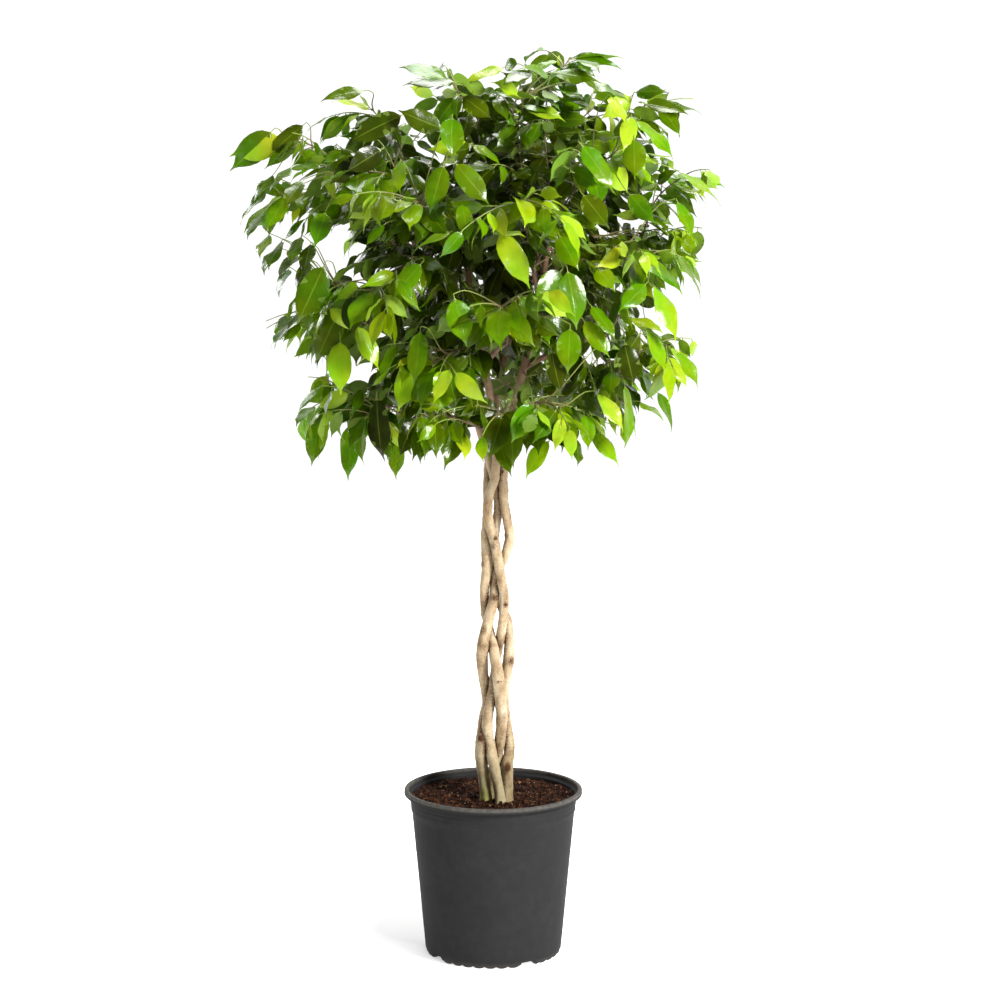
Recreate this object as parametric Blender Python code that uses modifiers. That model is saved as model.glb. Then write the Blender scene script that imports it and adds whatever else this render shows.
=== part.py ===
"""Potted weeping fig: a plaited standard tree in a nursery pot. Metres, +Z up.

The origin is the middle of the pot's flat underside, and the front is towards -Y.
"""
import math

import bmesh
import bpy
import numpy as np
from mathutils import Vector
from mathutils.bvhtree import BVHTree

# Clearance between pieces that touch
GAP = 0.0003

# Nursery pot
POT_HEIGHT = 0.240
POT_RIM_RADIUS = 0.127
POT_BASE_RADIUS = 0.0965
POT_TAPER = 0.0935
POT_WALL = 0.002
POT_FLOOR = 0.0025
POT_SIDES = 36
LIP_HEIGHT = 0.0078
LIP_INNER_RADIUS = 0.1205
LIP_ROUND = 0.0020
SHOULDER_DROP = 0.030
SHOULDER_STEP = 0.0010
BASE_ROUND = 0.0070
FLOOR_RADIUS = 0.0890
FLOOR_CORNER = 0.010
NOTCH_COUNT = 4
NOTCH_WIDTH = 0.028
NOTCH_HEIGHT = 0.008
NOTCH_DEPTH = 0.012
NOTCH_CORNER = 0.003
NOTCH_FIRST = math.radians(-58)

# Potting mix
SOIL_TOP = 0.222
SOIL_RISE = 0.0045
SOIL_LUMP = 0.0012
SOIL_RINGS = (0.045, 0.085)
SOIL_WAVES = (210, 260, 90)
HOLE_GAP = 0.00035
HOLE_STATIONS = 6

# Plaited stems: each row is x, y, height and radius in millimetres, foot first
STEM_ROUTES = (
    ((-10, -8, 165, 6.6), (-10, -8, 222, 6.8), (-14, -6, 259, 7.2), (-18, -2, 291, 7.8),
     (-15, 8, 331, 7.2), (-9, 9, 366, 6.4), (-14, 3, 400, 6.8), (-16, -6, 441, 7.4),
     (-9, -12, 479, 7.0), (0, -10, 512, 6.6), (4, 4, 545, 6.0), (19, 4, 584, 6.0),
     (23, 2, 606, 6.0), (16, -4, 650, 5.8), (15, -6, 714, 5.8), (31, -30, 800, 5.2),
     (60, -62, 930, 4.2), (82, -88, 1070, 2.8)),
    ((10, -22, 165, 6.2), (10, -22, 222, 6.2), (5, -18, 257, 6.6), (-3, -14, 295, 7.4),
     (-9, -10, 330, 7.4), (-6, -6, 355, 6.8), (1, 0, 394, 6.2), (4, 7, 424, 6.2),
     (10, -1, 460, 6.0), (16, -10, 512, 6.2), (11, -12, 547, 6.0), (4, -14, 590, 6.2),
     (-7, -12, 632, 6.2), (-7, -12, 661, 6.0), (3, -12, 697, 5.8), (2, -18, 770, 5.4),
     (-22, -50, 900, 4.2), (-46, -78, 1060, 2.8)),
    ((20, -4, 165, 6.4), (20, -4, 222, 6.4), (21, -2, 266, 7.0), (23, 1, 298, 7.0),
     (17, 8, 345, 6.6), (16, 8, 381, 6.6), (21, 1, 425, 6.8), (22, 5, 458, 6.4),
     (17, 6, 488, 6.0), (6, 13, 515, 5.8), (0, 13, 560, 5.8), (2, 7, 603, 5.6),
     (7, 8, 643, 5.6), (3, 8, 674, 5.4), (-6, 2, 712, 5.2), (-30, 14, 790, 5.0),
     (-74, 32, 930, 4.0), (-104, 40, 1080, 2.8)),
    ((-3, 14, 165, 6.2), (-3, 14, 222, 6.2), (2, 9, 262, 6.4), (6, 1, 287, 7.0),
     (12, -8, 340, 7.4), (8, -10, 396, 8.0), (2, -11, 434, 7.2), (-5, 0, 466, 6.2),
     (-12, 6, 500, 6.0), (-12, 1, 533, 6.2), (-9, -9, 566, 6.8), (-11, -6, 600, 6.4),
     (-8, 6, 642, 6.0), (-8, 9, 680, 5.6), (-4, 14, 740, 5.4), (10, 38, 830, 5.0),
     (38, 72, 960, 4.0), (54, 98, 1090, 2.8)),
)
STEM_CLEARANCE = 0.0015
STEM_SLANT = 1.05
PLAIT_ROUNDS = 200
PLAIT_EASE = 0.12
PLAIT_TOP = 0.714
PLAIT_STEP = 0.022
LEADER_STEP = 0.048
STEM_FINENESS = 2
STEM_SIDES = 8
CURVE_READS = 40

# Woody limbs on each stem: height on the stem, turn from the stem's own lean, rise and length
LIMBS = ((0.762, -58, 8, 0.125), (0.850, 52, 22, 0.120), (0.945, -46, 34, 0.110))
LIMB_RADII = (0.0042, 0.0026)
LIMB_POINTS = 4
LIMB_ARCH = 0.018
LIMB_FINENESS = 1
LEAN_STATIONS = 8

# Leafy sprays: tips chosen by hand as x, y, z in millimetres, then the way the end leaf points
CHOSEN_TIPS = (
    ((-168, -10, 1205), (-1.0, -0.1, 0.15)),
    ((-288, -20, 1166), (-0.6, -0.3, -0.6)),
    ((-292, 30, 1080), (-0.8, 0.0, -0.6)),
    ((106, -20, 1276), (1.0, 0.0, -0.05)),
    ((-58, -50, 1247), (-1.0, -0.2, 0.0)),
    ((212, 10, 1210), (1.0, -0.1, -0.15)),
    ((264, -20, 1116), (1.0, -0.1, -0.45)),
    ((252, 20, 1010), (0.6, 0.0, -0.8)),
    ((244, -30, 880), (0.5, -0.1, -0.9)),
    ((176, -70, 800), (0.2, -0.2, -1.0)),
    ((-232, -20, 800), (-0.1, -0.2, -1.0)),
    ((-262, 10, 915), (-0.6, 0.0, -0.8)),
    ((-176, -110, 790), (0.0, -0.3, -1.0)),
    ((-90, -150, 790), (0.1, -0.3, -1.0)),
    ((12, -150, 800), (0.0, -0.3, -1.0)),
    ((92, -170, 812), (0.1, -0.3, -1.0)),
)
SPRAY_COUNT = 44
CROWN_MIDDLE = (-0.010, 0.0, 0.995)
CROWN_RADIUS = 0.262
CROWN_RISE = 0.245
CROWN_FALL = 0.205
CROWN_SQUARENESS = 2.6
CROWN_TRIALS = 400
TIP_SPACINGS = (0.098, 0.088, 0.078)
TRUNK_CLEAR = 0.10
TIP_OUT = 0.7
TIP_DROP = (0.7, 0.5)
TWIG_BASE_RADIUS = 0.0017
TWIG_TIP_RADIUS = 0.0010
TWIG_COLLAR = 0.007
TWIG_POINTS = 6
TWIG_SIDES = 6
TWIG_LEAVE = (0.8, 0.5, 0.45)
TWIG_ARRIVE = 0.6
TWIG_BEND = 0.009
TWIG_TRIES = 6
SITE_SPACING = 0.030
SITE_MARGINS = (0.020, 0.012)
SITE_LOWEST = 0.752
SITE_CLEAR = 0.009
SITE_TRIES = 40
END_LIKING = 0.8
END_TURN = 0.4
SQUARE_LIKING = 0.5
WOOD_SWELL = 0.0002

# Leaves
LEAVES_A_SPRAY = 7
LEAF_LENGTH = (0.056, 0.082)
LEAF_WIDTH = 0.46
LEAF_THICKNESS = 0.0007
LEAF_ARCH = 0.14
LEAF_FOLD = 0.22
LEAF_STATIONS = ((0.33, 0.50), (0.68, 0.31))
LEAF_KEEL = 0.55
SHEET_FACES = ((0, 2, 1), (1, 2, 3), (2, 5, 3), (5, 6, 3), (6, 4, 3), (4, 1, 3))
SHEET_RIM = (0, 2, 5, 6, 4, 1)
LEAF_NECK = 0.13
LEAF_CLEARANCE = 0.0008
LEAF_TRIES = 40
LEAF_GROWTH = 1.03
LAST_SHARE = 0.985
SHARE_SPREAD = 0.72
SHARE_START = 0.35
SHARE_LOOSE = 0.02
LEAF_SIDE = 0.75
LEAF_AHEAD = 0.45
LEAF_OUT = 0.2
LEAF_DROP = (0.42, 0.35, 0.25)
LEAF_LOOSE = (0.16, 0.03)
LEAF_FACE_UP = 0.75
LEAF_FACE_OUT = 0.65
LEAF_FACE_LOOSE = (0.25, 0.03)
LEAF_SHRINK = 0.006
SEED = 11

# Edges sharper than these angles stay sharp
POT_SMOOTH = 35
BARK_SMOOTH = 50

UP = np.array([0.0, 0.0, 1.0])


def unit(vector):
    """The vector at length 1."""
    return vector / max(float(np.linalg.norm(vector)), 1e-9)


def through(points, count):
    """A smooth curve through the points (Catmull-Rom), read at count even steps of its parameter."""
    ends = np.vstack([2 * points[0] - points[1], points, 2 * points[-1] - points[-2]])
    t = np.linspace(0, len(points) - 1, count)
    i = np.minimum(t.astype(int), len(points) - 2)
    f = (t - i)[:, None]
    a, b, c, d = ends[i], ends[i + 1], ends[i + 2], ends[i + 3]
    return 0.5 * (2 * b + (c - a) * f + (2 * a - 5 * b + 4 * c - d) * f ** 2
                  + (3 * b - a - 3 * c + d) * f ** 3)


def at_heights(route, heights):
    """A smooth route's x, y, z and radius at the given heights."""
    fine = through(np.array(route) / 1000.0, CURVE_READS * len(route))
    return np.stack([np.interp(heights, fine[:, 2], fine[:, k]) for k in range(4)], axis=1)


def plait(stems):
    """Part the stems in depth, keeping who passes in front, until none touches another."""
    for _ in range(PLAIT_ROUNDS):
        for stem in stems:
            stem[1:-1, 1] += (stem[:-2, 1] - 2 * stem[1:-1, 1] + stem[2:, 1]) * PLAIT_EASE
        for i in range(len(stems)):
            for j in range(i):
                across = stems[i][:, 0] - stems[j][:, 0]
                apart = stems[i][:, 1] - stems[j][:, 1]
                need = (stems[i][:, 3] + stems[j][:, 3]) * STEM_SLANT + STEM_CLEARANCE
                wanted = np.sqrt(np.maximum(need ** 2 - across ** 2, 0))
                push = np.maximum(wanted - np.abs(apart), 0) / 2 * np.where(apart < 0, -1, 1)
                stems[i][:, 1] += push
                stems[j][:, 1] -= push
    return stems


def stem_lines():
    """The four stems' middle lines: rows of x, y, z and radius from foot to top."""
    foot, top = STEM_ROUTES[0][0][2] / 1000.0, min(route[-1][2] for route in STEM_ROUTES) / 1000.0
    low = np.arange(foot, PLAIT_TOP, PLAIT_STEP)
    high = np.arange(low[-1] + LEADER_STEP, top, LEADER_STEP)
    fine = np.arange(foot, top, PLAIT_STEP / 4)
    stems = plait([at_heights(route, fine) for route in STEM_ROUTES])
    heights = np.concatenate([low, high])
    return [np.stack([np.interp(heights, fine, stem[:, k]) for k in range(4)], axis=1) for stem in stems]


def limb_lines(stem):
    """A stem's woody limbs: curved lines from its middle outwards, rising then levelling."""
    ahead = stem[-1] - stem[-LEAN_STATIONS]
    lean = math.atan2(ahead[1], ahead[0])
    lines = []
    for height, turn, rise, length in LIMBS:
        start = np.array([np.interp(height, stem[:, 2], stem[:, k]) for k in range(3)])
        bearing = lean + math.radians(turn)
        out = np.array([math.cos(bearing), math.sin(bearing), math.tan(math.radians(rise))])
        t = np.linspace(0, 1, LIMB_POINTS)[:, None]
        line = start + unit(out) * length * t + UP * LIMB_ARCH * (t - t ** 2)
        radii = np.linspace(*LIMB_RADII, LIMB_POINTS)[:, None]
        lines.append(np.hstack([line, radii]))
    return lines


def ring_frames(line):
    """Two directions square to a line at each of its points, turned as little as possible."""
    ahead = np.gradient(line[:, :3], axis=0)
    ahead /= np.linalg.norm(ahead, axis=1)[:, None]
    side = unit(np.cross(ahead[0], UP + np.array([0.13, 0.07, 0.0])))
    sides = []
    for direction in ahead:
        side = unit(side - direction * np.dot(side, direction))
        sides.append(side)
    sides = np.array(sides)
    return sides, np.cross(ahead, sides)


def tube_faces(line, sides, swell=0.0):
    """A plain tube round a line of x, y, z and radius, made wider by swell: points and faces."""
    first, second = ring_frames(line)
    angle = np.arange(sides) * 2 * math.pi / sides
    ring = np.cos(angle)[None, :, None] * first[:, None] + np.sin(angle)[None, :, None] * second[:, None]
    points = line[:, None, :3] + ring * (line[:, 3] + swell)[:, None, None]
    rows = np.arange(len(line) - 1)[:, None] * sides
    k = np.arange(sides)[None, :]
    after = (k + 1) % sides
    faces = np.stack([rows + k, rows + after, rows + sides + after, rows + sides + k], axis=2)
    caps = [list(range(sides))[::-1], [int(i) for i in (len(line) - 1) * sides + k[0]]]
    return points.reshape(-1, 3), faces.reshape(-1, 4).tolist() + caps


def crown_tips():
    """Where the sprays end: the chosen tips, then even ones over the crown where there is room."""
    tips = [np.array(place) / 1000.0 for place, _ in CHOSEN_TIPS]
    ways = [unit(np.array(way)) for _, way in CHOSEN_TIPS]
    golden = math.pi * (3 - math.sqrt(5))
    order = np.argsort(np.random.default_rng(SEED).random(CROWN_TRIALS))
    for spacing in TIP_SPACINGS:
        for k in order:
            level = 1 - 2 * (k + 0.5) / CROWN_TRIALS
            wide = (1 - abs(level) ** CROWN_SQUARENESS) ** (1 / CROWN_SQUARENESS)
            bearing = k * golden
            rise = CROWN_RISE if level > 0 else CROWN_FALL
            out = np.array([math.cos(bearing), math.sin(bearing), 0.0])
            tip = np.array(CROWN_MIDDLE) + out * CROWN_RADIUS * wide + UP * rise * level
            if np.hypot(tip[0], tip[1]) < TRUNK_CLEAR and level < 0:
                continue
            if len(tips) < SPRAY_COUNT and min(np.linalg.norm(tip - t) for t in tips) > spacing:
                tips.append(tip)
                ways.append(unit(out * TIP_OUT - UP * (TIP_DROP[0] - TIP_DROP[1] * level)))
    return tips, ways


def twig_sites(stems, limbs):
    """Places where a twig can leave the wood: middle point, wood radius, wood direction, is an end."""
    sites = []
    for line in stems + limbs:
        steps = np.linalg.norm(np.diff(line[:, :3], axis=0), axis=1)
        reach = np.concatenate([[0], np.cumsum(steps)])
        for distance in np.arange(reach[-1] - SITE_MARGINS[1], SITE_MARGINS[0], -SITE_SPACING):
            row = np.array([np.interp(distance, reach, line[:, k]) for k in range(4)])
            if row[2] > SITE_LOWEST:
                i = min(int(np.searchsorted(reach, distance)), len(line) - 1)
                sites.append((row[:3], row[3], unit(line[i, :3] - line[i - 1, :3]), False))
        sites.append((line[-1, :3], line[-1, 3], unit(line[-1, :3] - line[-2, :3]), True))
    return sites


def twig_line(site, tip, way, bend):
    """A twig from the wood to its tip: square out of the wood, over in an arch, and down."""
    middle, radius, wood_way, is_end = site
    toward = unit(tip - middle)
    if is_end:
        out, start = wood_way, middle + wood_way * GAP
    else:
        out = unit(toward - wood_way * np.dot(toward, wood_way))
        start = middle + out * (radius + GAP)
    collar = start + out * TWIG_COLLAR
    length = np.linalg.norm(tip - collar)
    t = np.linspace(0, 1, TWIG_POINTS - 1)[:, None]
    leave = unit(out * TWIG_LEAVE[0] + toward * TWIG_LEAVE[1] + UP * TWIG_LEAVE[2]) * length
    arrive = unit((toward + way) * TWIG_ARRIVE) * length
    line = ((2 * t ** 3 - 3 * t ** 2 + 1) * collar + (t ** 3 - 2 * t ** 2 + t) * leave
            + (3 * t ** 2 - 2 * t ** 3) * tip + (t ** 3 - t ** 2) * arrive)
    line += (t - t ** 2) * 4 * bend
    line = np.vstack([start, line])
    radii = np.linspace(TWIG_BASE_RADIUS, TWIG_TIP_RADIUS, TWIG_POINTS)[:, None]
    return np.hstack([line, radii])


def leaf_sheet(leaf, first=0.0, larger=1.0):
    """The leaf's seven points: root, left and right at its widest, keel, left and right beyond, tip."""
    root, along, face, length, width, arch = leaf
    left = np.cross(face, along)
    (wide_at, wide), (far_at, far) = LEAF_STATIONS
    rows = ((first, 0.0), (wide_at, wide), (wide_at, -wide), (LEAF_KEEL, 0.0), (far_at, far),
            (far_at, -far), (1.0, 0.0))
    t, half = np.array(rows).T[:, :, None]
    across = half * width * larger
    return (root + along * length * t * larger - face * arch * length * t ** 2 + left * across
            + face * LEAF_FOLD * np.abs(across))


def leaf_faces(leaf, first, larger, thickness):
    """The leaf as a closed blade: its sheet moved half the thickness either way, with a rim."""
    sheet = leaf_sheet(leaf, first, larger)
    count = len(sheet)
    points = np.vstack([sheet + leaf[2] * thickness / 2, sheet - leaf[2] * thickness / 2])
    faces = [list(f) for f in SHEET_FACES] + [[i + count for i in f[::-1]] for f in SHEET_FACES]
    for a, b in zip(SHEET_RIM, SHEET_RIM[1:] + SHEET_RIM[:1]):
        faces.append([a + count, b + count, b, a])
    return points, faces


class Room:
    """What is already placed, to keep new twigs and leaves clear of it."""

    def __init__(self):
        self.trees = []
        self.lows = []
        self.highs = []

    def add(self, points, faces):
        """Place a solid, and return its number."""
        self.trees.append(BVHTree.FromPolygons(points.tolist(), faces))
        self.lows.append(points.min(axis=0))
        self.highs.append(points.max(axis=0))
        return len(self.trees) - 1

    def is_clear(self, points, faces, own=-1):
        """Whether a solid crosses nothing that is placed, its own twig left out."""
        low, high = points.min(axis=0), points.max(axis=0)
        near = np.all(np.array(self.lows) < high, axis=1) & np.all(np.array(self.highs) > low, axis=1)
        mine = BVHTree.FromPolygons(points.tolist(), faces)
        return not any(self.trees[i].overlap(mine) for i in np.nonzero(near)[0] if i != own)


def grow_twigs(stems, limbs, room):
    """One twig for each tip, from the nearest free site from which it crosses nothing."""
    tips, ways = crown_tips()
    sites = twig_sites(stems, limbs)
    free = [True] * len(sites)
    twigs = []
    order = sorted(range(len(tips)), key=lambda n: -np.linalg.norm(tips[n] - np.array(CROWN_MIDDLE)))
    for n in order:
        tip, way = tips[n], ways[n]
        costs = []
        for site in sites:
            toward = tip - site[0]
            slant = 1 + SQUARE_LIKING * np.dot(unit(toward), site[2]) ** 2
            costs.append(np.linalg.norm(toward) * (END_LIKING if site[3] else slant))
        line = None
        for s in np.argsort(costs)[:SITE_TRIES]:
            if not free[s] or (sites[s][3] and np.dot(unit(tip - sites[s][0]), sites[s][2]) < END_TURN):
                continue
            for attempt in range(TWIG_TRIES):
                rng = np.random.default_rng([SEED, n, int(s), attempt])
                trial = twig_line(sites[s], tip, way, rng.normal(size=3) * TWIG_BEND * attempt)
                probe = trial.copy()
                probe[0, :3] += (probe[1, :3] - probe[0, :3]) / 4
                if room.is_clear(*tube_faces(probe, TWIG_SIDES, LEAF_CLEARANCE)):
                    line = trial
                    break
            if line is not None:
                break
        if line is None:
            continue
        for k, site in enumerate(sites):
            if np.linalg.norm(site[0] - sites[s][0]) < SITE_CLEAR:
                free[k] = False
        own = room.add(*tube_faces(line, TWIG_SIDES, WOOD_SWELL))
        twigs.append((n, line, way, own))
    return sorted(twigs, key=lambda twig: twig[0])


def point_on(line, share):
    """The point and direction at a share of a twig's length."""
    steps = np.linalg.norm(np.diff(line[:, :3], axis=0), axis=1)
    reach = np.concatenate([[0], np.cumsum(steps)])
    distance = share * reach[-1]
    i = min(max(int(np.searchsorted(reach, distance)), 1), len(line) - 1)
    f = (distance - reach[i - 1]) / steps[i - 1]
    return line[i - 1, :3] * (1 - f) + line[i, :3] * f, unit(line[i, :3] - line[i - 1, :3])


def draw_leaf(n, line, way, k, attempt):
    """One leaf by the rule: leaves sit left and right in turn, reach ahead and hang by their weight."""
    rng = np.random.default_rng([SEED, n, k, attempt])
    share = LAST_SHARE
    if k:
        share = 1 - SHARE_SPREAD * (k - SHARE_START) / (LEAVES_A_SPRAY - 1)
        share += rng.uniform(-SHARE_LOOSE, SHARE_LOOSE)
    root, ahead = point_on(line, share)
    out = unit(root * np.array([1.0, 1.0, 0.0]))
    side = unit(np.cross(ahead, UP)) * (1 if (k + n) % 2 else -1)
    drop = LEAF_DROP[0] + LEAF_DROP[1] * rng.random() + LEAF_DROP[2] * (root[2] < CROWN_MIDDLE[2])
    sway = rng.normal(size=3) * (LEAF_LOOSE[0] + LEAF_LOOSE[1] * attempt)
    if k:
        along = unit(side * LEAF_SIDE + ahead * LEAF_AHEAD + out * LEAF_OUT - UP * drop + sway)
    else:
        along = unit(way + ahead / 2 + sway)
    face = UP * LEAF_FACE_UP + out * LEAF_FACE_OUT
    face = face + rng.normal(size=3) * (LEAF_FACE_LOOSE[0] + LEAF_FACE_LOOSE[1] * attempt)
    face = unit(face - along * np.dot(face, along))
    length = rng.uniform(*LEAF_LENGTH) * (1 - LEAF_SHRINK * attempt)
    width = length * LEAF_WIDTH * rng.uniform(0.9, 1.1)
    return root, along, face, length, width, LEAF_ARCH * rng.uniform(0.5, 1.5)


def grow_leaves(twigs, room):
    """Leaves for every twig, the outermost of each first, each drawn again until it crosses nothing."""
    leaves = {n: [] for n, _, _, _ in twigs}
    thick = LEAF_THICKNESS + 2 * LEAF_CLEARANCE
    for k in range(LEAVES_A_SPRAY):
        for n, line, way, own in twigs:
            for attempt in range(LEAF_TRIES):
                leaf = draw_leaf(n, line, way, k, attempt)
                blade = leaf_faces(leaf, LEAF_NECK, LEAF_GROWTH, thick)
                whole = leaf_faces(leaf, 0.0, LEAF_GROWTH, thick)
                if room.is_clear(*blade) and room.is_clear(*whole, own):
                    room.add(*leaf_faces(leaf, 0.0, 1.0, LEAF_THICKNESS))
                    leaves[n].append(leaf)
                    break
    return leaves


def new_material(name, colour, roughness):
    """A plain Principled finish from an sRGB hex colour."""
    channels = [int(colour[i:i + 2], 16) / 255 for i in (0, 2, 4)]
    linear = [c / 12.92 if c <= 0.04045 else ((c + 0.055) / 1.055) ** 2.4 for c in channels]
    material = bpy.data.materials.new(name)
    material.use_nodes = True
    shader = material.node_tree.nodes["Principled BSDF"]
    shader.inputs["Base Color"].default_value = (*linear, 1.0)
    shader.inputs["Roughness"].default_value = roughness
    shader.inputs["Metallic"].default_value = 0.0
    material.diffuse_color = (*linear, 1.0)
    return material


def new_object(name, mesh, collection, material=None):
    """An object for a mesh in a collection, with its material."""
    thing = bpy.data.objects.new(name, mesh)
    collection.objects.link(thing)
    if material is not None:
        mesh.materials.clear()
        mesh.materials.append(material)
    return thing


def settle(thing):
    """Apply an object's modifiers to its mesh."""
    bpy.context.view_layer.update()
    evaluated = thing.evaluated_get(bpy.context.evaluated_depsgraph_get())
    mesh = bpy.data.meshes.new_from_object(evaluated)
    thing.modifiers.clear()
    thing.data = mesh


def smooth(thing, degrees=POT_SMOOTH):
    """Shade an object smooth, with edges sharper than the angle kept."""
    thing.data.shade_smooth()
    thing.data.set_sharp_from_angle(angle=math.radians(degrees))


def tube(name, line, fineness, collection, swell=0.0):
    """A round rod along a line of x, y, z and radius: a bevelled curve made a closed mesh."""
    curve = bpy.data.curves.new(name, "CURVE")
    curve.dimensions = "3D"
    curve.bevel_depth = 1.0
    curve.bevel_resolution = fineness
    curve.use_fill_caps = True
    spline = curve.splines.new("POLY")
    spline.points.add(len(line) - 1)
    for point, (x, y, z, radius) in zip(spline.points, line):
        point.co = (x, y, z, 1.0)
        point.radius = radius + swell
    rod = bpy.data.objects.new(name, curve)
    collection.objects.link(rod)
    bpy.context.view_layer.update()
    mesh = bpy.data.meshes.new_from_object(rod.evaluated_get(bpy.context.evaluated_depsgraph_get()))
    shape = bmesh.new()
    shape.from_mesh(mesh)
    bmesh.ops.remove_doubles(shape, verts=shape.verts, dist=1e-6)
    bmesh.ops.recalc_face_normals(shape, faces=shape.faces)
    shape.to_mesh(mesh)
    shape.free()
    bpy.data.objects.remove(rod)
    bpy.data.curves.remove(curve)
    mesh.name = name
    return new_object(name, mesh, collection)


def turned(name, profile, collection):
    """A turned body: a profile of radius and height screwed round the upright axis."""
    mesh = bpy.data.meshes.new(name)
    edges = [(i, i + 1) for i in range(len(profile) - 1)]
    mesh.from_pydata([(r, 0.0, z) for r, z in profile], edges, [])
    body = new_object(name, mesh, collection)
    screw = body.modifiers.new("turn", "SCREW")
    screw.axis = "Z"
    screw.steps = POT_SIDES
    screw.render_steps = POT_SIDES
    screw.use_merge_vertices = True
    screw.merge_threshold = 0.00001
    return body


def boolean(thing, operation, collection):
    """Join a collection's objects to an object, or cut them from it, and remove them."""
    modifier = thing.modifiers.new(operation.lower(), "BOOLEAN")
    modifier.operation = operation
    modifier.operand_type = "COLLECTION"
    modifier.collection = collection
    modifier.solver = "EXACT"
    settle(thing)
    for used in list(collection.objects):
        bpy.data.objects.remove(used)
    bpy.data.collections.remove(collection)


def operand_collection(name):
    """A new collection for the objects that a Boolean joins or cuts."""
    collection = bpy.data.collections.new(name)
    bpy.context.scene.collection.children.link(collection)
    return collection


def wall_radius(height):
    """The pot's outer radius at a height: a plain cone."""
    return POT_BASE_RADIUS + POT_TAPER * height


def make_pot(parts, material):
    """The pot: one turned shell with a rolled lip and a shoulder, notched round its bottom edge."""
    top, lip_low, round_off = POT_HEIGHT, POT_HEIGHT - LIP_HEIGHT, LIP_ROUND
    shoulder = POT_HEIGHT - SHOULDER_DROP
    profile = [
        (0.0, POT_FLOOR),
        (FLOOR_RADIUS, POT_FLOOR),
        (wall_radius(FLOOR_CORNER) - POT_WALL, FLOOR_CORNER),
        (wall_radius(lip_low) - POT_WALL, lip_low),
        (LIP_INNER_RADIUS - round_off / 2, lip_low + round_off),
        (LIP_INNER_RADIUS, top - round_off),
        (LIP_INNER_RADIUS + round_off, top),
        (POT_RIM_RADIUS - round_off, top),
        (POT_RIM_RADIUS, top - round_off),
        (POT_RIM_RADIUS, lip_low + round_off),
        (POT_RIM_RADIUS - round_off, lip_low),
        (wall_radius(lip_low) + SHOULDER_STEP, lip_low),
        (wall_radius(shoulder) + SHOULDER_STEP, shoulder),
        (wall_radius(shoulder), shoulder - 2 * SHOULDER_STEP),
        (wall_radius(BASE_ROUND), BASE_ROUND),
        (POT_BASE_RADIUS - BASE_ROUND / 4, BASE_ROUND / 4),
        (POT_BASE_RADIUS - BASE_ROUND * 0.7, 0.0),
        (0.0, 0.0),
    ]
    pot = turned("pot", profile, parts)
    settle(pot)
    cutters = operand_collection("notches")
    for k in range(NOTCH_COUNT):
        bearing = -math.pi / 2 + NOTCH_FIRST + k * 2 * math.pi / NOTCH_COUNT
        bpy.ops.mesh.primitive_cube_add(size=1.0)
        cutter = bpy.context.object
        cutter.scale = (NOTCH_DEPTH * 2, NOTCH_WIDTH, NOTCH_HEIGHT * 2)
        cutter.location = (POT_BASE_RADIUS * math.cos(bearing), POT_BASE_RADIUS * math.sin(bearing), 0.0)
        cutter.rotation_euler = (0.0, 0.0, bearing)
        cutter.hide_render = True
        cutter.display_type = "WIRE"
        for owner in list(cutter.users_collection):
            owner.objects.unlink(cutter)
        cutters.objects.link(cutter)
        bevel = cutter.modifiers.new("corners", "BEVEL")
        bevel.width = NOTCH_CORNER
        bevel.segments = 2
        bpy.context.view_layer.update()
        cutter.data.transform(cutter.matrix_basis)
        cutter.matrix_basis.identity()
    boolean(pot, "DIFFERENCE", cutters)
    pot.data.materials.clear()
    pot.data.materials.append(material)
    smooth(pot)
    return pot


def make_soil(parts, material, stems):
    """The potting mix: it fills the pot, lies a little uneven, and has a plain hole for each stem."""
    edge = SOIL_TOP + SOIL_RISE
    inner = POT_WALL + GAP
    profile = [
        (0.0, SOIL_TOP),
        (SOIL_RINGS[0], SOIL_TOP),
        (SOIL_RINGS[1], SOIL_TOP + SOIL_RISE / 3),
        (wall_radius(edge) - inner, edge),
        (wall_radius(FLOOR_CORNER) - inner - GAP / 2, FLOOR_CORNER + GAP),
        (FLOOR_RADIUS - GAP, POT_FLOOR + GAP),
        (0.0, POT_FLOOR + GAP),
    ]
    soil = turned("soil", profile, parts)
    settle(soil)
    points = np.array([v.co for v in soil.data.vertices])
    top = (points[:, 2] > SOIL_TOP - GAP) & (points[:, 2] < edge - GAP)
    first, second, third = SOIL_WAVES
    waves = np.sin(points[:, 0] * first + 1.0) + np.sin(points[:, 1] * second + points[:, 0] * third)
    points[top, 2] += SOIL_LUMP * waves[top]
    soil.data.vertices.foreach_set("co", points.ravel())
    holes = operand_collection("stem holes")
    for k, stem in enumerate(stems):
        foot = stem[:HOLE_STATIONS].copy()
        foot[0, 2] -= HOLE_GAP
        cutter = tube(f"hole_{k + 1}", foot, STEM_FINENESS, holes, HOLE_GAP)
        cutter.hide_render = True
        cutter.display_type = "WIRE"
    boolean(soil, "DIFFERENCE", holes)
    soil.data.materials.clear()
    soil.data.materials.append(material)
    smooth(soil)
    return soil


def make_stem(parts, material, k, stem, limbs):
    """One stem with its woody limbs, fused: they grew as one."""
    trunk = tube(f"stem_{k + 1}", stem, STEM_FINENESS, parts)
    wood = operand_collection("limbs")
    for j, limb in enumerate(limbs):
        tube(f"limb_{j}", limb, LIMB_FINENESS, wood)
    boolean(trunk, "UNION", wood)
    trunk.data.materials.clear()
    trunk.data.materials.append(material)
    smooth(trunk, BARK_SMOOTH)
    return trunk


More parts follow.
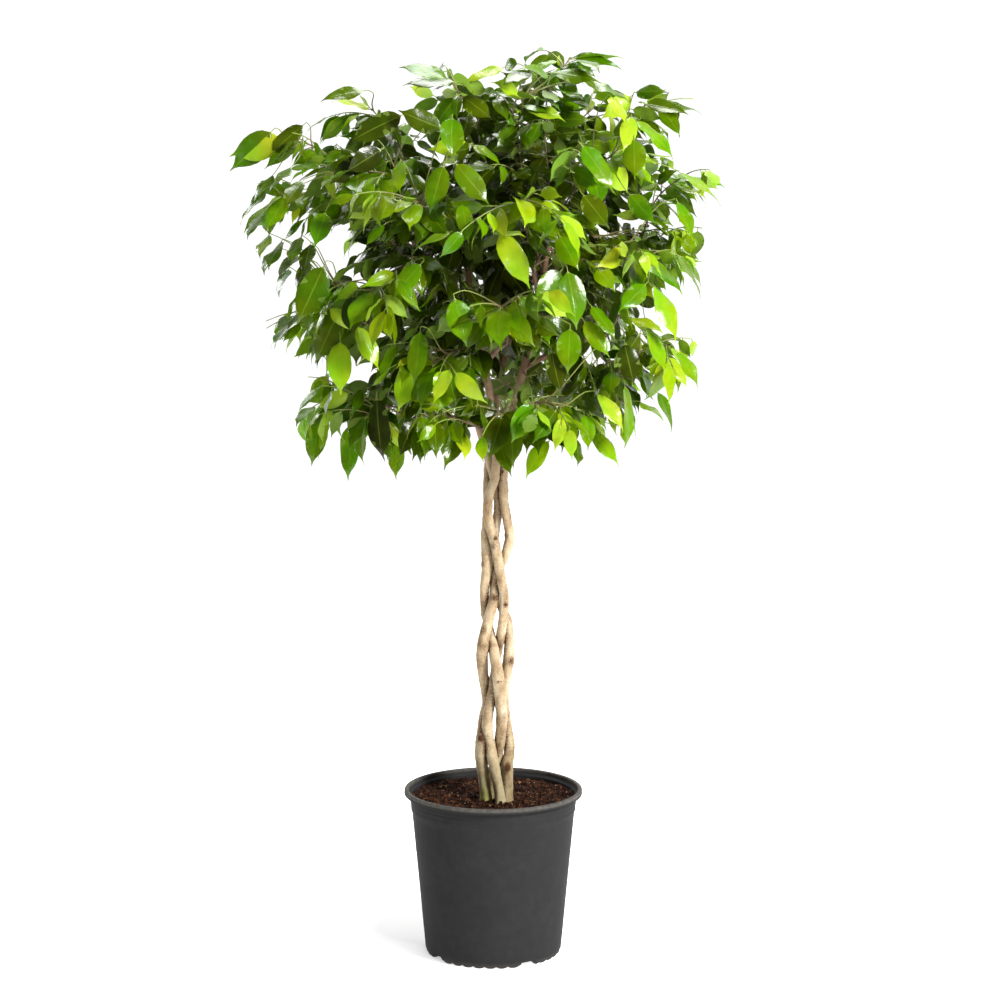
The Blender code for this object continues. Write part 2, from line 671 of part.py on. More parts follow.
def make_leaf(name, leaf, collection):
    """A leaf blade: its folded sheet pushed out by the blade's thickness."""
    sheet = leaf_sheet(leaf) + leaf[2] * LEAF_THICKNESS / 2
    shape = bmesh.new()
    corners = [shape.verts.new(point) for point in sheet]
    for face in SHEET_FACES:
        shape.faces.new([corners[i] for i in face])
    pushed = bmesh.ops.extrude_face_region(shape, geom=list(shape.faces))
    moved = [item for item in pushed["geom"] if isinstance(item, bmesh.types.BMVert)]
    bmesh.ops.translate(shape, verts=moved, vec=Vector(-leaf[2] * LEAF_THICKNESS))
    bmesh.ops.recalc_face_normals(shape, faces=shape.faces)
    mesh = bpy.data.meshes.new(name)
    shape.to_mesh(mesh)
    shape.free()
    return new_object(name, mesh, collection)


def make_spray(parts, material, number, line, leaves):
    """A leafy spray: a green twig with its leaves fused to it."""
    twig = tube(f"spray_{number:02d}", line, 0, parts)
    blades = operand_collection("blades")
    for k, leaf in enumerate(leaves):
        make_leaf(f"blade_{k}", leaf, blades)
    boolean(twig, "UNION", blades)
    twig.data.materials.clear()
    twig.data.materials.append(material)
    return twig


def main():
    for thing in list(bpy.data.objects):
        bpy.data.objects.remove(thing)
    parts = bpy.data.collections.new("potted_weeping_fig")
    bpy.context.scene.collection.children.link(parts)
    plastic = new_material("pot_plastic", "3A3B3C", 0.62)
    mix = new_material("potting_mix", "2E1B12", 0.95)
    bark = new_material("fig_bark", "C4AB84", 0.80)
    green = new_material("fig_leaf", "4C7A22", 0.42)

    stems = stem_lines()
    limbs = [limb_lines(stem) for stem in stems]
    room = Room()
    for line in stems:
        room.add(*tube_faces(line, STEM_SIDES, WOOD_SWELL))
    for line in sum(limbs, []):
        room.add(*tube_faces(line, TWIG_SIDES, WOOD_SWELL))
    twigs = grow_twigs(stems, sum(limbs, []), room)
    leaves = grow_leaves(twigs, room)

    pieces = [make_pot(parts, plastic), make_soil(parts, mix, stems)]
    for k, stem in enumerate(stems):
        pieces.append(make_stem(parts, bark, k, stem, limbs[k]))
    for number, (n, line, _, _) in enumerate(twigs, start=1):
        pieces.append(make_spray(parts, green, number, line, leaves[n]))

    plant = bpy.data.objects.new("potted_weeping_fig", None)
    parts.objects.link(plant)
    for piece in pieces:
        piece.parent = plant


main()
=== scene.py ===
"""Potted weeping fig: the dressed model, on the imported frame. Metres, +Z up, the front towards -Y.

The crown grows by the same seeded rule as the solids, so each finer piece keeps its solid's form.
"""
import functools
import math

import bpy
import numpy as np
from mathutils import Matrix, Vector
from mathutils.bvhtree import BVHTree


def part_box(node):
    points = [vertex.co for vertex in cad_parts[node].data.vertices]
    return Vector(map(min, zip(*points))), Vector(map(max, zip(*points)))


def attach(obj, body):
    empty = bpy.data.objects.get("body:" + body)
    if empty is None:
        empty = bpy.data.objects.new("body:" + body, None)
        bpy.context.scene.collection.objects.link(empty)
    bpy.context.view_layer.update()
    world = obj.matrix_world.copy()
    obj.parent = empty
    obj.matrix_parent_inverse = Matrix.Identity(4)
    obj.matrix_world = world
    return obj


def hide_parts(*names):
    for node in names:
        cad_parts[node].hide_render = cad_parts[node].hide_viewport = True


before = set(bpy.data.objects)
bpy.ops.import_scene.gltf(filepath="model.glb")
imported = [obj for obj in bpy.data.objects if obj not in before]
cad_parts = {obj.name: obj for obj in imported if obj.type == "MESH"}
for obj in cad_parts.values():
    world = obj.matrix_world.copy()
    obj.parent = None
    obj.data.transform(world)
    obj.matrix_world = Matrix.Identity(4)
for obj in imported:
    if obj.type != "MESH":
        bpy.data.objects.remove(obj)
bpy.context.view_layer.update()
SPRAY_BOXES = np.array([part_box(node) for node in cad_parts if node.startswith("spray")])
LOWEST, HIGHEST = SPRAY_BOXES[:, 0].min(axis=0), SPRAY_BOXES[:, 1].max(axis=0)

bl_info = {
    "name": "Potted Weeping Fig",
    "version": (1, 0, 0),
    "blender": (4, 5, 0),
    "location": "View3D > Sidebar > Weeping Fig",
    "description": "Builds a plaited standard weeping fig in a nursery pot",
    "category": "Add Mesh",
}

# Clearance between pieces that touch
GAP = 0.0003

# Nursery pot
POT_HEIGHT = 0.240
POT_RIM_RADIUS = 0.127
POT_BASE_RADIUS = 0.0965
POT_TAPER = 0.0935
POT_WALL = 0.002
POT_FLOOR = 0.0025
LIP_HEIGHT = 0.0078
LIP_INNER_RADIUS = 0.1205
SHOULDER_DROP = 0.030
SHOULDER_STEP = 0.0010
FLOOR_RADIUS = 0.0890
NOTCH_COUNT = 4
NOTCH_WIDTH = 0.028
NOTCH_FIRST = math.radians(-58)

# Potting mix
SOIL_TOP = 0.222
SOIL_RISE = 0.0045

# Plaited stems: each row is x, y, height and radius in millimetres, foot first
STEM_ROUTES = (
    ((-10, -8, 165, 6.6), (-10, -8, 222, 6.8), (-14, -6, 259, 7.2), (-18, -2, 291, 7.8),
     (-15, 8, 331, 7.2), (-9, 9, 366, 6.4), (-14, 3, 400, 6.8), (-16, -6, 441, 7.4),
     (-9, -12, 479, 7.0), (0, -10, 512, 6.6), (4, 4, 545, 6.0), (19, 4, 584, 6.0),
     (23, 2, 606, 6.0), (16, -4, 650, 5.8), (15, -6, 714, 5.8), (31, -30, 800, 5.2),
     (60, -62, 930, 4.2), (82, -88, 1070, 2.8)),
    ((10, -22, 165, 6.2), (10, -22, 222, 6.2), (5, -18, 257, 6.6), (-3, -14, 295, 7.4),
     (-9, -10, 330, 7.4), (-6, -6, 355, 6.8), (1, 0, 394, 6.2), (4, 7, 424, 6.2),
     (10, -1, 460, 6.0), (16, -10, 512, 6.2), (11, -12, 547, 6.0), (4, -14, 590, 6.2),
     (-7, -12, 632, 6.2), (-7, -12, 661, 6.0), (3, -12, 697, 5.8), (2, -18, 770, 5.4),
     (-22, -50, 900, 4.2), (-46, -78, 1060, 2.8)),
    ((20, -4, 165, 6.4), (20, -4, 222, 6.4), (21, -2, 266, 7.0), (23, 1, 298, 7.0),
     (17, 8, 345, 6.6), (16, 8, 381, 6.6), (21, 1, 425, 6.8), (22, 5, 458, 6.4),
     (17, 6, 488, 6.0), (6, 13, 515, 5.8), (0, 13, 560, 5.8), (2, 7, 603, 5.6),
     (7, 8, 643, 5.6), (3, 8, 674, 5.4), (-6, 2, 712, 5.2), (-30, 14, 790, 5.0),
     (-74, 32, 930, 4.0), (-104, 40, 1080, 2.8)),
    ((-3, 14, 165, 6.2), (-3, 14, 222, 6.2), (2, 9, 262, 6.4), (6, 1, 287, 7.0),
     (12, -8, 340, 7.4), (8, -10, 396, 8.0), (2, -11, 434, 7.2), (-5, 0, 466, 6.2),
     (-12, 6, 500, 6.0), (-12, 1, 533, 6.2), (-9, -9, 566, 6.8), (-11, -6, 600, 6.4),
     (-8, 6, 642, 6.0), (-8, 9, 680, 5.6), (-4, 14, 740, 5.4), (10, 38, 830, 5.0),
     (38, 72, 960, 4.0), (54, 98, 1090, 2.8)),
)
STEM_CLEARANCE = 0.0015
STEM_SLANT = 1.05
PLAIT_ROUNDS = 200
PLAIT_EASE = 0.12
PLAIT_TOP = 0.714
PLAIT_STEP = 0.022
LEADER_STEP = 0.048
STEM_SIDES = 8
CURVE_READS = 40

# Woody limbs on each stem: height on the stem, turn from the stem's own lean, rise and length
LIMBS = ((0.762, -58, 8, 0.125), (0.850, 52, 22, 0.120), (0.945, -46, 34, 0.110))
LIMB_RADII = (0.0042, 0.0026)
LIMB_POINTS = 4
LIMB_ARCH = 0.018
LEAN_STATIONS = 8

# Leafy sprays: tips listed as x, y, z in millimetres, then the way the end leaf points
CHOSEN_TIPS = (
    ((-168, -10, 1205), (-1.0, -0.1, 0.15)),
    ((-288, -20, 1166), (-0.6, -0.3, -0.6)),
    ((-292, 30, 1080), (-0.8, 0.0, -0.6)),
    ((106, -20, 1276), (1.0, 0.0, -0.05)),
    ((-58, -50, 1247), (-1.0, -0.2, 0.0)),
    ((212, 10, 1210), (1.0, -0.1, -0.15)),
    ((264, -20, 1116), (1.0, -0.1, -0.45)),
    ((252, 20, 1010), (0.6, 0.0, -0.8)),
    ((244, -30, 880), (0.5, -0.1, -0.9)),
    ((176, -70, 800), (0.2, -0.2, -1.0)),
    ((-232, -20, 800), (-0.1, -0.2, -1.0)),
    ((-262, 10, 915), (-0.6, 0.0, -0.8)),
    ((-176, -110, 790), (0.0, -0.3, -1.0)),
    ((-90, -150, 790), (0.1, -0.3, -1.0)),
    ((12, -150, 800), (0.0, -0.3, -1.0)),
    ((92, -170, 812), (0.1, -0.3, -1.0)),
)
SPRAY_COUNT = 44
CROWN_MIDDLE = (-0.010, 0.0, 0.995)
CROWN_RADIUS = 0.262
CROWN_RISE = 0.245
CROWN_FALL = 0.205
CROWN_SQUARENESS = 2.6
CROWN_TRIALS = 400
TIP_SPACINGS = (0.098, 0.088, 0.078)
TRUNK_CLEAR = 0.10
TIP_OUT = 0.7
TIP_DROP = (0.7, 0.5)
TWIG_RADII = (0.0017, 0.0010)
TWIG_COLLAR = 0.007
TWIG_POINTS = 6
TWIG_SIDES = 6
TWIG_LEAVE = (0.8, 0.5, 0.45)
TWIG_ARRIVE = 0.6
TWIG_BEND = 0.009
TWIG_TRIES = 6
SITE_SPACING = 0.030
SITE_MARGINS = (0.020, 0.012)
SITE_LOWEST = 0.752
SITE_CLEAR = 0.009
SITE_TRIES = 40
END_LIKING = 0.8
END_TURN = 0.4
SQUARE_LIKING = 0.5
WOOD_SWELL = 0.0002
# A line starts in its own wood, so its first step is shortened by one part in so many for a check
TWIG_PROBE = 4
SHOOT_PROBE = 3
# Keeps the frame round an upright line from vanishing
OFF_UPRIGHT = (0.13, 0.07, 0.0)

# Leaves
LEAVES_A_SPRAY = 7
LEAF_WIDTH = 0.46
LEAF_THICKNESS = 0.0007
LEAF_FOLD = 0.22
LEAF_STATIONS = ((0.33, 0.50), (0.68, 0.31))
LEAF_KEEL = 0.55
SHEET_FACES = ((0, 2, 1), (1, 2, 3), (2, 5, 3), (5, 6, 3), (6, 4, 3), (4, 1, 3))
SHEET_RIM = (0, 2, 5, 6, 4, 1)
LEAF_NECK = 0.13
LEAF_CLEARANCE = 0.0008
LEAF_TRIES = 40
LEAF_GROWTH = 1.03
LAST_SHARE = 0.985
SHARE_SPREAD = 0.72
SHARE_START = 0.35
SHARE_LOOSE = 0.02
LEAF_SIDE = 0.75
LEAF_AHEAD = 0.45
LEAF_OUT = 0.2
LEAF_DROP = (0.42, 0.35, 0.25)
LEAF_LOOSE = (0.16, 0.03)
LEAF_FACE_UP = 0.75
LEAF_FACE_OUT = 0.65
LEAF_FACE_LOOSE = 0.03
LEAF_SHRINK = 0.006
# A leaf's rule: how loosely it faces, its length, its width's spread, its arch and the arch's spread
SOLID_LEAF = (0.25, (0.056, 0.082), (0.9, 1.1), 0.14, (0.5, 1.5))
SEED = 11

# Finer pot
FINE_SIDES = 360
FOOT_HEIGHT = 0.0085
FOOT_WIDTH = 0.011
RECESS = 0.003
SCALLOP_PITCH = 0.0172
SCALLOP_DEPTH = 0.0024
SCALLOP_PINCH = 0.0012
SCALLOP_SHARPNESS = 1.5
# How far inside the foot's inner edge its lift and pinch reach
FOOT_MARGIN = 0.001
# A lug beside each notch: how far out, how far from the notch, and its half width
LUG = (0.0007, 0.003, 0.002)
NOTCH_LIFT = 0.0075
NOTCH_SLOPE = 0.0035
NOTCH_SHARPNESS = 0.7
# Edges sharper than these angles stay sharp
SMOOTH = 60
POT_SMOOTH = 40
CHIP_SMOOTH = 30
# Grooves on the shoulder: their heights, then their depth and half width, and how far apart stations are
GROOVES = (0.2165, 0.2225)
GROOVE = (0.0004, 0.0009, 0.0011)
# The shoulder's stations end this far under the lip
SHOULDER_END = 0.001
LEDGE_HEIGHT = 0.2245
LEDGE_STEP = 0.0011
LEDGE_FADE = 0.2
# From the middle underneath outwards: a ring on the floor, the foot's inner edge as further out and height,
# and the foot's corner as its middle's distance from the base radius, its width and its height
UNDER_RING = 0.05
FOOT_EDGE = ((-0.002, RECESS), (0.0, 0.0008), (0.001, 0.0))
FOOT_CORNER = (0.0050, 0.0045, 0.0055)
# The lip: where it leaves the wall, its rounds and where they start, its upright face and its inner ledge
LIP_TUCK = (0.0002, 0.0022)
LIP_ROUND = 0.0016
LIP_STARTS = (0.3, 0.2)
LIP_FACE = (0.0002, 0.0036)
LIP_TOP_ROUND = 0.0024
LIP_LEDGE = ((0.0, 0.0052), (0.0007, 0.0060))
LIP_END = 0.0010
# Stations down the inside: just under the lip, just over the ledge and just under it, and the lowest
INSIDE_STATIONS = (0.003, 0.0008, 0.002, 0.012)

# Finer soil: lumps and loose chips
SOIL_RINGS_FINE = 70
SOIL_SIDES_FINE = 200
SOIL_DEPTH = 0.014
CHIP_COUNT = 3200
CHIP_SIZE = (0.0009, 0.0042)
CHIP_RARITY = 2.2
CHIP_REACH = 0.111
CHIP_SIDES = 6
CHIP_RISE = 0.15
CHIP_TILT = 0.35
# A chip's width and thickness beside its length, and how unlike a lozenge it is
CHIP_SHAPE = (0.62, 0.34)
CHIP_RAGGED = (0.6, 1.15)
# How rare pale chips are, and how pale a chip may be that is larger than this
PALE_RARITY = 1.6
PALE_LARGEST = 0.0017
PALE_LARGE = 0.80
# Sizes of the soil's lumps: across, high and how many waves
SOIL_LUMPS = ((0.030, 0.0012, 14), (0.011, 0.0010, 24), (0.0045, 0.0007, 30))
LUMP_SPREAD = (0.7, 1.4)
LUMP_GAIN = 1.6
SOIL_REACH = 0.11
# The mound on the left: its middle, height and half width
SOIL_MOUND = (-0.085, 0.01, 0.0035, 0.03)

# Finer bark
BARK_SIDES = 20
BARK_STEP = 0.003
BARK_STEP_HIGH = 0.010
BARK_SWELL = 1.10
BARK_RELIEF = 0.00035
# Painted shade and dirt between stems: how far it reaches from another stem, and how dark it gets
SHADE_AND_DIRT_REACH = 0.0042
SHADE_AND_DIRT_DARK = 0.95
# The relief's waves: how many, the most round the stem, and their pace along it
RELIEF_TERMS = 40
RELIEF_PACE = (7, 420)
# The bark starts this far under the soil, and the painted shade and dirt between stems end this far above the
# plait
BARK_START = 0.015
SHADE_AND_DIRT_ABOVE = 0.06
FINE_READS = 1600
# A knot's dimple, its depth and width as shares of the knot's, and how wide its brown stain is
KNOT_DIMPLE = (0.5, 0.35)
KNOT_STAIN = 1.15
LIMB_TUBE = (12, 18)
# How woody a tube is at its start and its end, 0 to 1
LIMB_AGE = (1.0, 1.0)
TWIG_AGE = (0.95, 0.45)
SHOOT_AGE = (0.55, 0.0)
# The stem's flare at the soil: how far out, over what height it fades, its lobes and how deep they are
FLARE = (0.0016, 0.012, 3, 0.5)
# The first stem's mossy foot: up to what height, over what height it fades, and on which side
MOSS = (0.238, 0.009, 0.7, -0.3)
# The bark grows brown from this height, over this height
BARK_AGE = (0.60, 0.30)

# Swellings: stem, height, half length, how much wider, further right and further forward (mm)
SWELLINGS = (
    (1, 315, 20, 2.6, 3.0, 9.0), (1, 285, 20, 0.4, 0.0, 3.0), (3, 425, 9, 1.0, 1.0, 1.0),
    (3, 274, 10, 0.8, -2.0, 3.0), (2, 300, 12, 0.0, 0.0, -3.0), (1, 440, 22, 0.3, 0.0, 2.0),
)

# Knots and scars: stem, height, bearing from the front in degrees, size, how far it stands out, darkness
KNOTS = (
    (1, 314, -25, 4.0, 1.6, 1.0), (1, 314, 30, 3.0, 1.0, 0.7), (3, 272, 5, 4.5, 1.4, 1.0),
    (2, 446, -5, 5.0, 1.2, 0.75), (3, 425, 25, 5.0, 1.6, 0.7), (4, 398, -10, 1.6, 0.5, 1.0),
    (4, 398, 22, 1.6, 0.5, 1.0), (3, 482, 60, 6.0, 2.4, 0.35), (4, 478, -85, 2.6, 3.0, 1.0),
    (1, 471, -30, 7.0, 0.4, 0.5), (1, 517, 20, 5.5, 1.8, 0.75), (2, 510, 15, 3.5, 1.4, 0.9),
    (2, 594, -20, 5.5, 2.4, 0.6), (1, 606, -45, 5.0, 2.2, 0.5), (2, 604, 25, 3.0, 1.4, 0.9),
    (1, 665, -60, 4.0, 1.8, 0.2), (1, 698, -10, 2.0, 0.8, 1.0), (2, 640, -70, 4.0, 1.4, 0.3),
    (4, 566, -50, 4.5, 1.4, 0.5), (4, 350, 20, 5.5, 1.0, 0.4), (3, 345, 60, 4.0, 1.0, 0.4),
)

# Side shoots on each twig, and shoots inside the crown
SHOOT_SHARES = (0.20, 0.31, 0.42, 0.53, 0.64, 0.74, 0.83, 0.92)
SHOOT_LENGTH = (0.055, 0.105)
SHOOT_DROP = 0.32
SHOOT_TRIES = 6
SHOOT_RADII = (0.0011, 0.0006)
SHOOT_POINTS = 5
INNER_SHOOTS = 130
INNER_LENGTH = (0.09, 0.17)
EXTRA_TRIES = 9
EXTRA_SPACING = 0.0087
# How far a leaf's tip may pass the solid sprays' box, and how far above its floor a shoot's end stays
CROWN_SLACK = 0.004
SHOOT_FLOOR = 0.030
SHOOT_SIDES = 4
# A shoot's way: sideways, ahead along its twig, up, and how loosely; then how far its place is shifted
SHOOT_GO = (0.8, 0.65, 0.3, 0.25)
SHOOT_SHIFT = 0.03
INNER_RISE = 0.35
# Leaves on shoots, twigs and inner shoots: from what share of the way, and how much light they get
SHOOT_LEAVES = (0.28, 0.9)
TWIG_LEAVES = (0.25, 0.5)
INNER_LEAVES = (0.25, 0.2)
# The last side leaf's distance from the end, in spacings
LAST_GAP = 0.6

# A leaf's outline: share of the way from root to tip, and share of the half width there
LEAF_OUTLINE = (
    (0.0, 0.0), (0.095, 0.0), (0.125, 0.20), (0.17, 0.52), (0.245, 0.78), (0.35, 0.95), (0.47, 1.0),
    (0.59, 0.96), (0.70, 0.80), (0.79, 0.54), (0.86, 0.26), (0.92, 0.10), (1.0, 0.02),
)
PETIOLE_RINGS = 2
PETIOLE_SHARE = 0.115
PETIOLE_RADIUS = 0.0006
BLADE_THICKNESS = 0.0005
DRIP_BEND = 0.06
EDGE_WAVE = 0.034
BLADE_CROWN = 0.28
# The rule of the finer leaves, in the order of SOLID_LEAF
FINE_LEAF = (1.05, (0.032, 0.064), (0.76, 1.04), 1.0, (0.05, 0.42))
# How far a blade sways and twists, how fast its edge ripples, how its fold varies, where its tip bends
BLADE_SWAY = (0.045, 0.30)
WAVE_PACE = (6, 13)
WAVE_LEAN = 1.6
FOLD_SPREAD = (0.6, 2.4)
DRIP_TIP = (0.8, 0.2)
# Tubes of the crown: sides and stations
TWIG_TUBE = (7, 18)
SHOOT_TUBE = (5, 9)
# The share of leaf places left bare, by height and by distance from the middle in m
SPARSE_BELOW = ((0.76, 0.86, 0.95), (0.50, 0.38, 0.0))
SPARSE_BEYOND = ((0.20, 0.30), (0.0, 0.28))
# How young a leaf's green is, darker inside the crown partly as painted shade: the darkest, the rise to the
# crown's shell and its spread, and to the light
TONE_DARKEST = 0.02
TONE_SHELL = 0.42
TONE_SPREAD = (0.5, 1.3)
TONE_LIGHT = 0.10
INNER_LIGHT = 0.6
SHELL_MOST = 1.1
# Painted backlight: how much brighter the crown's outer edge is painted, and from what share of its radius
EDGE_BACKLIGHT = 0.16
EDGE_BACKLIGHT_FROM = 0.65
# New leaves: how many inside, how many more in the light, beyond what shell, and how much younger
NEW_INSIDE = 0.06
NEW_OUTSIDE = 0.12
NEW_SHELL = 0.8
NEW_TONE = (0.2, 0.5)

# The seed that each kind of draw has beside SEED
DRAWS = {"tone": 50, "shoot": 60, "shoot leaf": 61, "twig leaf": 62, "site order": 70, "inner shoot": 71,
         "inner leaf": 72, "blades": 80, "bark": 90, "soil": 95, "chips": 96}
# The draw that says whether a leaf's place stays bare
BARE_DRAW = 99

# Leaves that stand out: blade root and tip and the width seen, in the photograph's pixels, then how young
# the green is, and how much farther back than the crown's front the leaf hangs (mm)
LEAF_MARKS = (
    # top left quarter
    (363, 91, 321, 97, 11, .45, 0), (453, 82, 403, 80, 13, .30, 0), (502, 68, 463, 79, 10, .95, 0),
    (400, 116, 348, 138, 24, .22, 0), (440, 128, 399, 112, 23, .30, 0), (452, 119, 448, 155, 25, .55, -10),
    (443, 167, 428, 212, 23, .50, 0), (457, 165, 489, 203, 24, .52, 0), (270, 133, 233, 171, 28, .42, 0),
    (302, 126, 268, 153, 18, .35, 0), (266, 192, 239, 222, 13, .55, 0), (287, 197, 267, 228, 16, .65, 0),
    (281, 242, 267, 263, 8, .55, 0), (325, 214, 317, 242, 22, .55, 0), (450, 232, 410, 247, 8, .95, 0),
    (400, 163, 397, 188, 13, .75, 0), (363, 160, 330, 180, 22, .12, 20), (380, 150, 348, 172, 24, .15, 20),
    (300, 238, 288, 258, 12, .50, 0), (296, 256, 282, 272, 14, .35, 0), (275, 250, 262, 268, 10, .60, 0),
    (268, 236, 256, 252, 9, .70, 0), (307, 262, 298, 284, 14, .30, 0), (288, 270, 276, 290, 12, .50, 0),
    (310, 245, 305, 268, 15, .25, 0), (262, 214, 246, 232, 9, .60, 0), (290, 168, 268, 186, 13, .45, 0),
    (272, 176, 254, 196, 10, .50, 0), (302, 182, 284, 202, 14, .35, 0),
    # top right quarter
    (576, 58, 622, 62, 14, .50, 0), (555, 73, 600, 78, 15, .45, 0), (547, 75, 524, 65, 12, .55, 0),
    (530, 74, 502, 77, 13, .30, 0), (595, 83, 630, 98, 12, .45, 0), (611, 97, 627, 118, 14, .95, 0),
    (631, 118, 625, 147, 18, 1.0, 0), (634, 140, 633, 175, 24, .55, -5), (647, 104, 688, 111, 14, .35, 0),
    (638, 122, 677, 153, 10, .70, 0), (583, 147, 617, 188, 20, .60, -10), (584, 196, 609, 226, 23, .40, 0),
    (630, 195, 653, 220, 20, .58, 0), (681, 173, 724, 199, 11, .75, 0), (678, 203, 692, 235, 14, .62, 0),
    (500, 236, 533, 284, 25, .90, -15), (495, 232, 522, 229, 10, .80, -10), (560, 237, 577, 265, 23, .60, 0),
    # bottom left quarter
    (323, 268, 299, 322, 30, .42, 0), (338, 313, 315, 361, 28, .35, 10), (340, 343, 338, 393, 24, .85, -10),
    (358, 328, 381, 367, 18, .85, 0), (415, 362, 396, 409, 25, .80, -5), (420, 333, 416, 383, 22, .60, 5),
    (420, 265, 391, 297, 20, .60, 0), (455, 300, 468, 344, 26, .62, -10), (452, 380, 441, 406, 20, .68, 0),
    (318, 420, 317, 464, 21, .55, 0), (352, 425, 351, 478, 22, .62, 0), (397, 432, 397, 478, 19, .65, 0),
    (415, 420, 396, 451, 20, .20, -5), (377, 400, 377, 459, 22, .08, 0), (432, 415, 431, 452, 15, .55, 0),
    (442, 415, 437, 449, 14, .45, 0), (347, 405, 311, 423, 12, .50, 0), (313, 407, 296, 417, 9, .80, 0),
    (290, 323, 274, 340, 10, .50, 0), (462, 430, 467, 452, 14, .90, 0), (353, 297, 352, 331, 27, .22, 0),
    # bottom right quarter
    (568, 273, 579, 327, 29, .55, -10), (560, 272, 535, 299, 22, .55, 0), (645, 285, 622, 308, 20, .60, 0),
    (525, 317, 560, 333, 18, .35, 0), (570, 330, 567, 372, 25, .60, 0), (585, 322, 611, 354, 18, .65, -5),
    (592, 307, 617, 335, 12, .55, 0), (655, 287, 682, 337, 15, .85, 0), (678, 256, 705, 294, 10, .55, 0),
    (677, 353, 700, 383, 12, .70, 0), (668, 362, 672, 402, 11, .78, 0), (648, 328, 667, 371, 15, .72, 0),
    (633, 318, 661, 325, 10, .85, 0), (625, 345, 632, 383, 22, .18, 0), (552, 353, 558, 392, 18, .20, 0),
    (598, 395, 627, 426, 13, .95, 0), (625, 387, 633, 444, 15, .60, 0), (532, 405, 512, 441, 24, .62, -10),
    (542, 413, 567, 434, 8, .95, 0), (498, 439, 509, 471, 17, .45, 0), (548, 442, 520, 472, 15, .78, 0),
    (545, 432, 567, 441, 14, .25, 0), (588, 427, 621, 463, 17, .78, 0), (575, 438, 581, 458, 9, .35, 0),
    (658, 393, 677, 428, 9, .50, 0), (642, 403, 661, 411, 7, .70, 0),
)
# Where the search for a marked leaf's depth starts, and its rounds
MARK_DEPTH = 0.150
MARK_ROUNDS = 20
# A marked leaf: how much longer than seen, its least length, its least and most width, its face and arch
MARK_SLANT = 1.03
MARK_LENGTH = 0.056
MARK_WIDTH = (0.42, 0.60)
MARK_FACE = (0.0, -1.0, 0.17)
MARK_ARCH = 0.07
# Its shoot leaves a twig somewhere between these shares, out of so many; a twig that points at it is nearer
REACH_SHARES = (0.15, 0.98, 12)
REACH_EASE = 0.35
REACH_AHEAD = 0.8

# The crown's front as an ellipsoid in m: half width, half height, depth, its middle's height and place ahead
CROWN_FRONT = (0.340, 0.300, 0.225, 1.000, 0.020)

# The crown's outline from the front, where it turns: height, then the edge's place (mm)
LEFT_EDGE = (
    (700, -205), (735, -262), (770, -277), (840, -275), (900, -303), (1015, -318), (1050, -345),
    (1120, -360), (1155, -350), (1190, -315), (1225, -238), (1260, -150), (1280, 40), (1295, 105),
)
RIGHT_EDGE = (
    (700, 130), (735, 206), (770, 250), (805, 285), (840, 290), (905, 268), (980, 290), (1050, 285),
    (1085, 312), (1120, 305), (1155, 262), (1225, 255), (1260, 176), (1295, 165),
)

# A gap in the leaves shows the stems' tops from the front: its left, right and top, and how far back (mm)
STEM_WINDOW = (-8, 30, 808, 30)

# The camera, from the photograph's perspective: focal length and the axis's place, in its pixels
PHOTO_PIXELS = 1000
FOCAL_PIXELS = 3604.0
AXIS_SHIFT = 6.7
SENSOR = 36.0
VIEW_DISTANCE = 5.0
VIEW_HEIGHT = 1.5
VIEW_PITCH = math.radians(9.58)

# The studio: each light's name, width, place and target; the floor; the room's fall-off from back to front
LIGHTS = (
    ("key_light", 1.2, (2.65, -2.45, 2.6), (0.0, 0.0, 0.8)),
    ("rim_light", 1.4, (-2.4, 2.2, 2.0), (0.0, 0.0, 1.05)),
    ("top_light", 1.4, (0.2, 0.9, 3.0), (0.0, 0.0, 1.0)),
)
FLOOR_SIDES = 96
FLOOR_REACH = 4.0
ROOM_FADE = (0.35, 0.95, 0.15, 1.7)
ROOM_SEEN = 1.1
# The middle of the pot's shadow on the floor, and where it starts and ends to fade
SHADOW_AT = (-0.07, 0.13, 0.0)
SHADOW_REACH = (0.10, 0.24)

UP = np.array([0.0, 0.0, 1.0])


def unit(vector):
    """The vector at length 1."""
    return vector / max(float(np.linalg.norm(vector)), 1e-9)


def draw(kind, *key):
    """The random draws for one thing: its kind and its numbers always give the same ones."""
    return np.random.default_rng([SEED, DRAWS[kind], *key])


def through(points, count):
    """A smooth curve through the points (Catmull-Rom), read at count even steps of its parameter."""
    ends = np.vstack([2 * points[0] - points[1], points, 2 * points[-1] - points[-2]])
    t = np.linspace(0, len(points) - 1, count)
    i = np.minimum(t.astype(int), len(points) - 2)
    f = (t - i)[:, None]
    a, b, c, d = ends[i], ends[i + 1], ends[i + 2], ends[i + 3]
    return 0.5 * (2 * b + (c - a) * f + (2 * a - 5 * b + 4 * c - d) * f ** 2
                  + (3 * b - a - 3 * c + d) * f ** 3)


def curve_between(start, end, leave, arrive, t):
    """The cubic curve from start to end that leaves and arrives along the two given ways (Hermite)."""
    return ((2 * t ** 3 - 3 * t ** 2 + 1) * start + (t ** 3 - 2 * t ** 2 + t) * leave
            + (3 * t ** 2 - 2 * t ** 3) * end + (t ** 3 - t ** 2) * arrive)


def with_radii(points, radii):
    """A line of points with its radius at each, which goes evenly from the first to the second."""
    return np.hstack([points, np.linspace(*radii, len(points))[:, None]])


def read_at(values, places, line):
    """A line's x, y, z and radius where its places take the given values."""
    return np.stack([np.interp(values, places, line[:, k]) for k in range(4)], axis=-1)


def steps_along(line):
    """The lengths of a line's steps, and how far along it each of its points lies."""
    steps = np.linalg.norm(np.diff(line[:, :3], axis=0), axis=1)
    return steps, np.concatenate([[0], np.cumsum(steps)])


